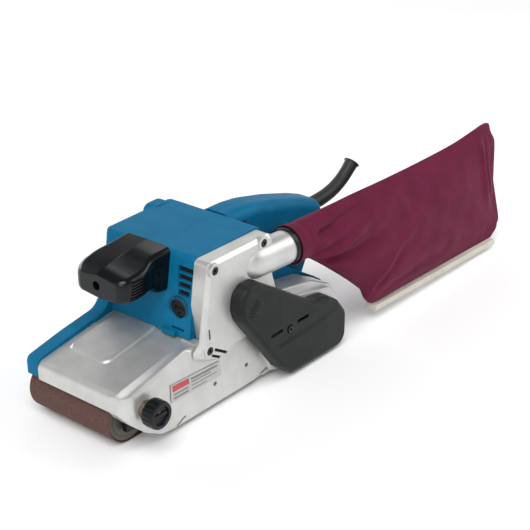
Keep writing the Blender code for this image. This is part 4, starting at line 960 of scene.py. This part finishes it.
def bag_spot(share, down, side):
    """A place on the bag: share of its length, share of its depth, side -1 near or 1 far."""
    top_x, top_z = between(BAG_TOP, share)
    foot_x, foot_z = between(BAG_FOOT, share)
    half, shape = between(BAG_HALF, share)
    tail = max(0, (share - 0.55) / 0.45) ** 1.6
    x = top_x + (foot_x - top_x) * down + between(BAG_BOW, down)[0] * tail
    z = top_z + (foot_z - top_z) * down
    lean = -9.5 * min(1, share / 0.3) * down ** 1.3
    middle = SPIGOT_END.y - 0.4 + lean
    round_off = max(0, 4 * down * (1 - down)) ** shape
    free = min(1, share / 0.03) * min(1, 5 * down) * min(1, 6 * (1 - down)) * min(1, (1 - share) / 0.02)
    ripple = noise.noise(Vector((x * 0.018, z * 0.028, side * 3))) * 2
    ripple += noise.noise(Vector((x * 0.05 + z * 0.03, z * 0.05, side * 5))) * 0.8
    out = half * round_off + free * (fold_height(x, z, side) + ripple)
    return x, middle + side * max(out, 0.45), z


def dust_bag():
    """Sewn cloth shell: a sleeve over the collar, folds from the neck, seams at rear and front."""
    bm = bmesh.new()
    columns, depth = 150, 44
    downs = [(1 - cos(pi * k / depth)) / 2 for k in range(depth + 1)]
    path = [(down, -1) for down in downs] + [(down, 1) for down in reversed(downs[1:-1])]
    rows = []
    turn = Matrix.Rotation(-SPIGOT_TURN, 3, "Z")
    for along, radius in ((-3.8, 18.2), (-4.2, 18.6), (-4, 19.2), (-3.1, 19.5), (-2, 19.3), (-1.2, 18.9),
            (1, 18.8), (2.8, 18.8), (4.4, 18.7)):
        ring = []
        for down, side in path:
            offset = Vector((along, side * radius * 2 * sqrt(down * (1 - down)), radius * (1 - 2 * down)))
            ring.append(bm.verts.new(SPIGOT_END + turn @ offset))
        rows.append(ring)
    for column in range(1, columns + 1):
        share = column / columns
        rows.append([bm.verts.new(bag_spot(share, down, side)) for down, side in path])
    for lower, upper in zip(rows, rows[1:]):
        bridge(bm, lower, upper)
    bm.faces.new(rows[-1])
    made = place("cloth_bag", bm)
    modify(made, "SOLIDIFY", thickness=CLOTH_THICK * MM, offset=-1)
    modify(made, "SUBSURF", levels=1)
    apply(made)
    finish(made, "cloth", "bag_cloth", "dust_bag", body="bag", smooth=70)
    stitches()


def stitches():
    """Lock stitches along the rear and the front seams."""
    bm = bmesh.new()
    lines = [[(0.972, 0.03 + 0.94 * k / 120) for k in range(121)],
        [(0.06 + 0.37 * k / 110, 0.955) for k in range(111)]]
    for line in lines:
        spots = [Vector(bag_spot(*spot, -1)) for spot in line]
        gone = 0
        for here, there in zip(spots, spots[1:]):
            gone += (there - here).length
            if gone < STITCH_PITCH:
                continue
            gone = 0
            ahead = (there - here).normalized()
            across = ahead.cross(Vector((0, 1, 0))).normalized()
            middle = here + Vector((0, -0.25, 0))
            rings = []
            for end in (middle - ahead * STITCH_HALF, middle + ahead * STITCH_HALF):
                rings.append([bm.verts.new(
                    end + across * THREAD_R * cos(t) + Vector((0, THREAD_R * sin(t), 0)))
                    for t in full_turn(6)])
            bridge(bm, *rings)
            bm.faces.new(rings[0])
            bm.faces.new(rings[1])
    made = place("bag_stitches", bm)
    finish(made, "thread", "bag_cloth", body="bag")


def bag_collar():
    profile = [(SPIGOT_R + GAP, -9), (SPIGOT_R + 1.2, -9), (SPIGOT_R + 1.6, -8.5), (SPIGOT_R + 1.6, 3.2),
        (SPIGOT_R + 1.2, 3.6), (13.5, 3.6), (13.5, GAP), (SPIGOT_R + GAP, GAP)]
    made = turned("neck_collar", profile, start=SPIGOT_END, turn=-SPIGOT_TURN)
    finish(made, "black", "rubber", "bag_collar", body="bag")


def bag_fastener():
    outline = rounded([(-7, -3.2, 1.6), (7, -3.2, 1.6), (7, 3.2, 1.6), (-7, 3.2, 1.6)], 15)
    lean = Matrix.Rotation(RAIL_DROP, 3, "Y")
    made = loft("foot_rail", [[RAIL_START + lean @ Vector((along, a, b)) for a, b in outline]
        for along in (0, RAIL_LENGTH)])
    finish(made, "rail", "rail_plastic", "bag_fastener", body="rail", edge=0.4)


# ---- carried-over nodes

CARRIED = {
    "steel": ("front_axle drive_shaft small_pulley armature_core armature_shaft field_core "
              "shoe_plate tracking_screw lever_pivot drive_bearing_left drive_bearing_right "
              "motor_bearing_left motor_bearing_right handle_screw_1 handle_screw_2 handle_screw_3"),
    # The roller yoke gets this dark finish as painted shade where it sits in shadow; the screws are black
    # oxide.
    "oxide_and_painted_shade": ("roller_yoke belt_cover_screw side_cover_screw_1 side_cover_screw_2 side_cover_screw_3 "
              "front_grip_screw"),
    "spring": "tracking_spring",
    "brass": "commutator brush_holder_front brush_holder_rear",
    "carbon": "carbon_brush_front carbon_brush_rear",
    "pad": "shoe_pad",
    "casting": "large_pulley end_bracket dust_fan",
    "black": "tension_lever cooling_fan switch_body",
    "rubber": "timing_belt",
}


COIL_Z, COIL_R, COIL_WIRE = 24, 5.2, 0.9
COIL_START, COIL_END, COIL_TURNS = 62.4, 93.6, 5


def tension_coil():
    """Compression spring behind the fork, built at one fixed length."""
    around, sides = 24, 10
    steps = COIL_TURNS * around
    length = COIL_END - COIL_START - 2 * COIL_WIRE
    rows = []
    for step in range(steps + 1):
        angle = tau * step / around
        along = COIL_START + COIL_WIRE + length * step / steps
        row = []
        for turn in full_turn(sides):
            reach = COIL_R + COIL_WIRE * cos(turn)
            row.append((along + COIL_WIRE * sin(turn), reach * cos(angle), COIL_Z + reach * sin(angle)))
        rows.append(row)
    made = loft("tension_coil", rows)
    finish(made, "spring", "spring_wire", "tension_spring")
    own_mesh(made)


def carried():
    for look, names in CARRIED.items():
        for name in names.split():
            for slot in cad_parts[name].material_slots:
                slot.material = MATS[look]


# ---- stage

WALL_SHADE = (1, 1, 1)
ROOM_SHADE = (0.2, 0.2, 0.21)
ROOM_STRENGTH = 0.92
FLOOR_SHADE = (0.93, 0.93, 0.93, 1)
FLOOR_SIZE = 12
FLOOR_DROP = 0.0003
SUN_STRENGTH = 1.95
SUN_SPREAD = radians(40)
SUN_FROM = Vector((-0.45, -0.35, 1))
BOXES = (  # name, place, side, watts, where it points, in metres
    ("left_box", (1.05, -0.75, 0.95), 0.75, 6, (0.05, -0.05, 0.08)),
    ("right_box", (0.1, 1.55, 0.55), 0.8, 8, (-0.1, -0.06, 0.07)),
    ("high_box", (1.25, 1.05, 1.6), 0.7, 3, (-0.1, 0, 0.07)),
    ("front_box", (-1.3, -0.5, 0.9), 0.9, 6, (0, 0, 0.06)))


def backdrop():
    """White studio wall up to a low height, darker room above it."""
    world = bpy.data.worlds.new("studio")
    world.use_nodes = True
    tree = world.node_tree
    split = node(tree, "SeparateXYZ", Vector=node(tree, "TexCoord").outputs["Generated"])
    shade = ramp(tree, split.outputs["Z"], WALL_SHADE, ROOM_SHADE, 0.22, 0.5)
    tree.links.new(shade, tree.nodes["Background"].inputs["Color"])
    tree.nodes["Background"].inputs["Strength"].default_value = ROOM_STRENGTH
    bpy.context.scene.world = world


def hang(light, spot, toward):
    holder = show(bpy.data.objects.new(light.name, light))
    holder.location = spot
    holder.rotation_euler = toward.to_track_quat("-Z", "Y").to_euler()


def stage():
    bpy.ops.mesh.primitive_plane_add(size=FLOOR_SIZE, location=(0, 0, 0))
    floor = bpy.context.object
    floor.name = "floor"
    floor.location.z = -FLOOR_DROP
    floor.data.materials.append(shader_of("floor_paper", 0.9, Base_Color=FLOOR_SHADE)[0])
    backdrop()
    sun = bpy.data.lights.new("sky_sun", "SUN")
    sun.energy = SUN_STRENGTH
    sun.angle = SUN_SPREAD
    hang(sun, (0, 0, 0), -SUN_FROM)
    for name, spot, size, power, aim in BOXES:
        lamp = bpy.data.lights.new(name, "AREA")
        lamp.shape = "SQUARE"
        lamp.size = size
        lamp.energy = power
        hang(lamp, spot, Vector(aim) - Vector(spot))


CAMERA_SPOT = (-0.80454, -0.7872, 0.64738)
CAMERA_TURN = (-49.92, 25.6, -0.7)  # azimuth, elevation and roll in degrees
CAMERA_LENS = 92.93


def camera():
    a, e, roll = (radians(angle) for angle in CAMERA_TURN)
    back = Vector((sin(a) * cos(e), -cos(a) * cos(e), sin(e)))
    right = Vector((cos(a), sin(a), 0))
    up = back.cross(right)
    across = right * cos(roll) + up * sin(roll)
    above = up * cos(roll) - right * sin(roll)
    lens = bpy.data.cameras.new("camera")
    lens.lens = CAMERA_LENS
    lens.clip_start = 0.05
    holder = show(bpy.data.objects.new("camera", lens))
    turn = Matrix((across, above, back)).transposed().to_4x4()
    holder.matrix_world = Matrix.Translation(CAMERA_SPOT) @ turn
    bpy.context.scene.camera = holder
    bpy.context.scene.view_settings.view_transform = "Standard"


camera()
for build in (base_frame, deck_panel, side_guard, name_plate, sanding_belt, rollers, tracking, belt_cover,
        motor_housing, brush_caps, side_cover, handle, trigger, rear_cover, cord_guard, front_grip,
        dust_bag, bag_collar, bag_fastener, tension_coil, carried, stage):
    build()
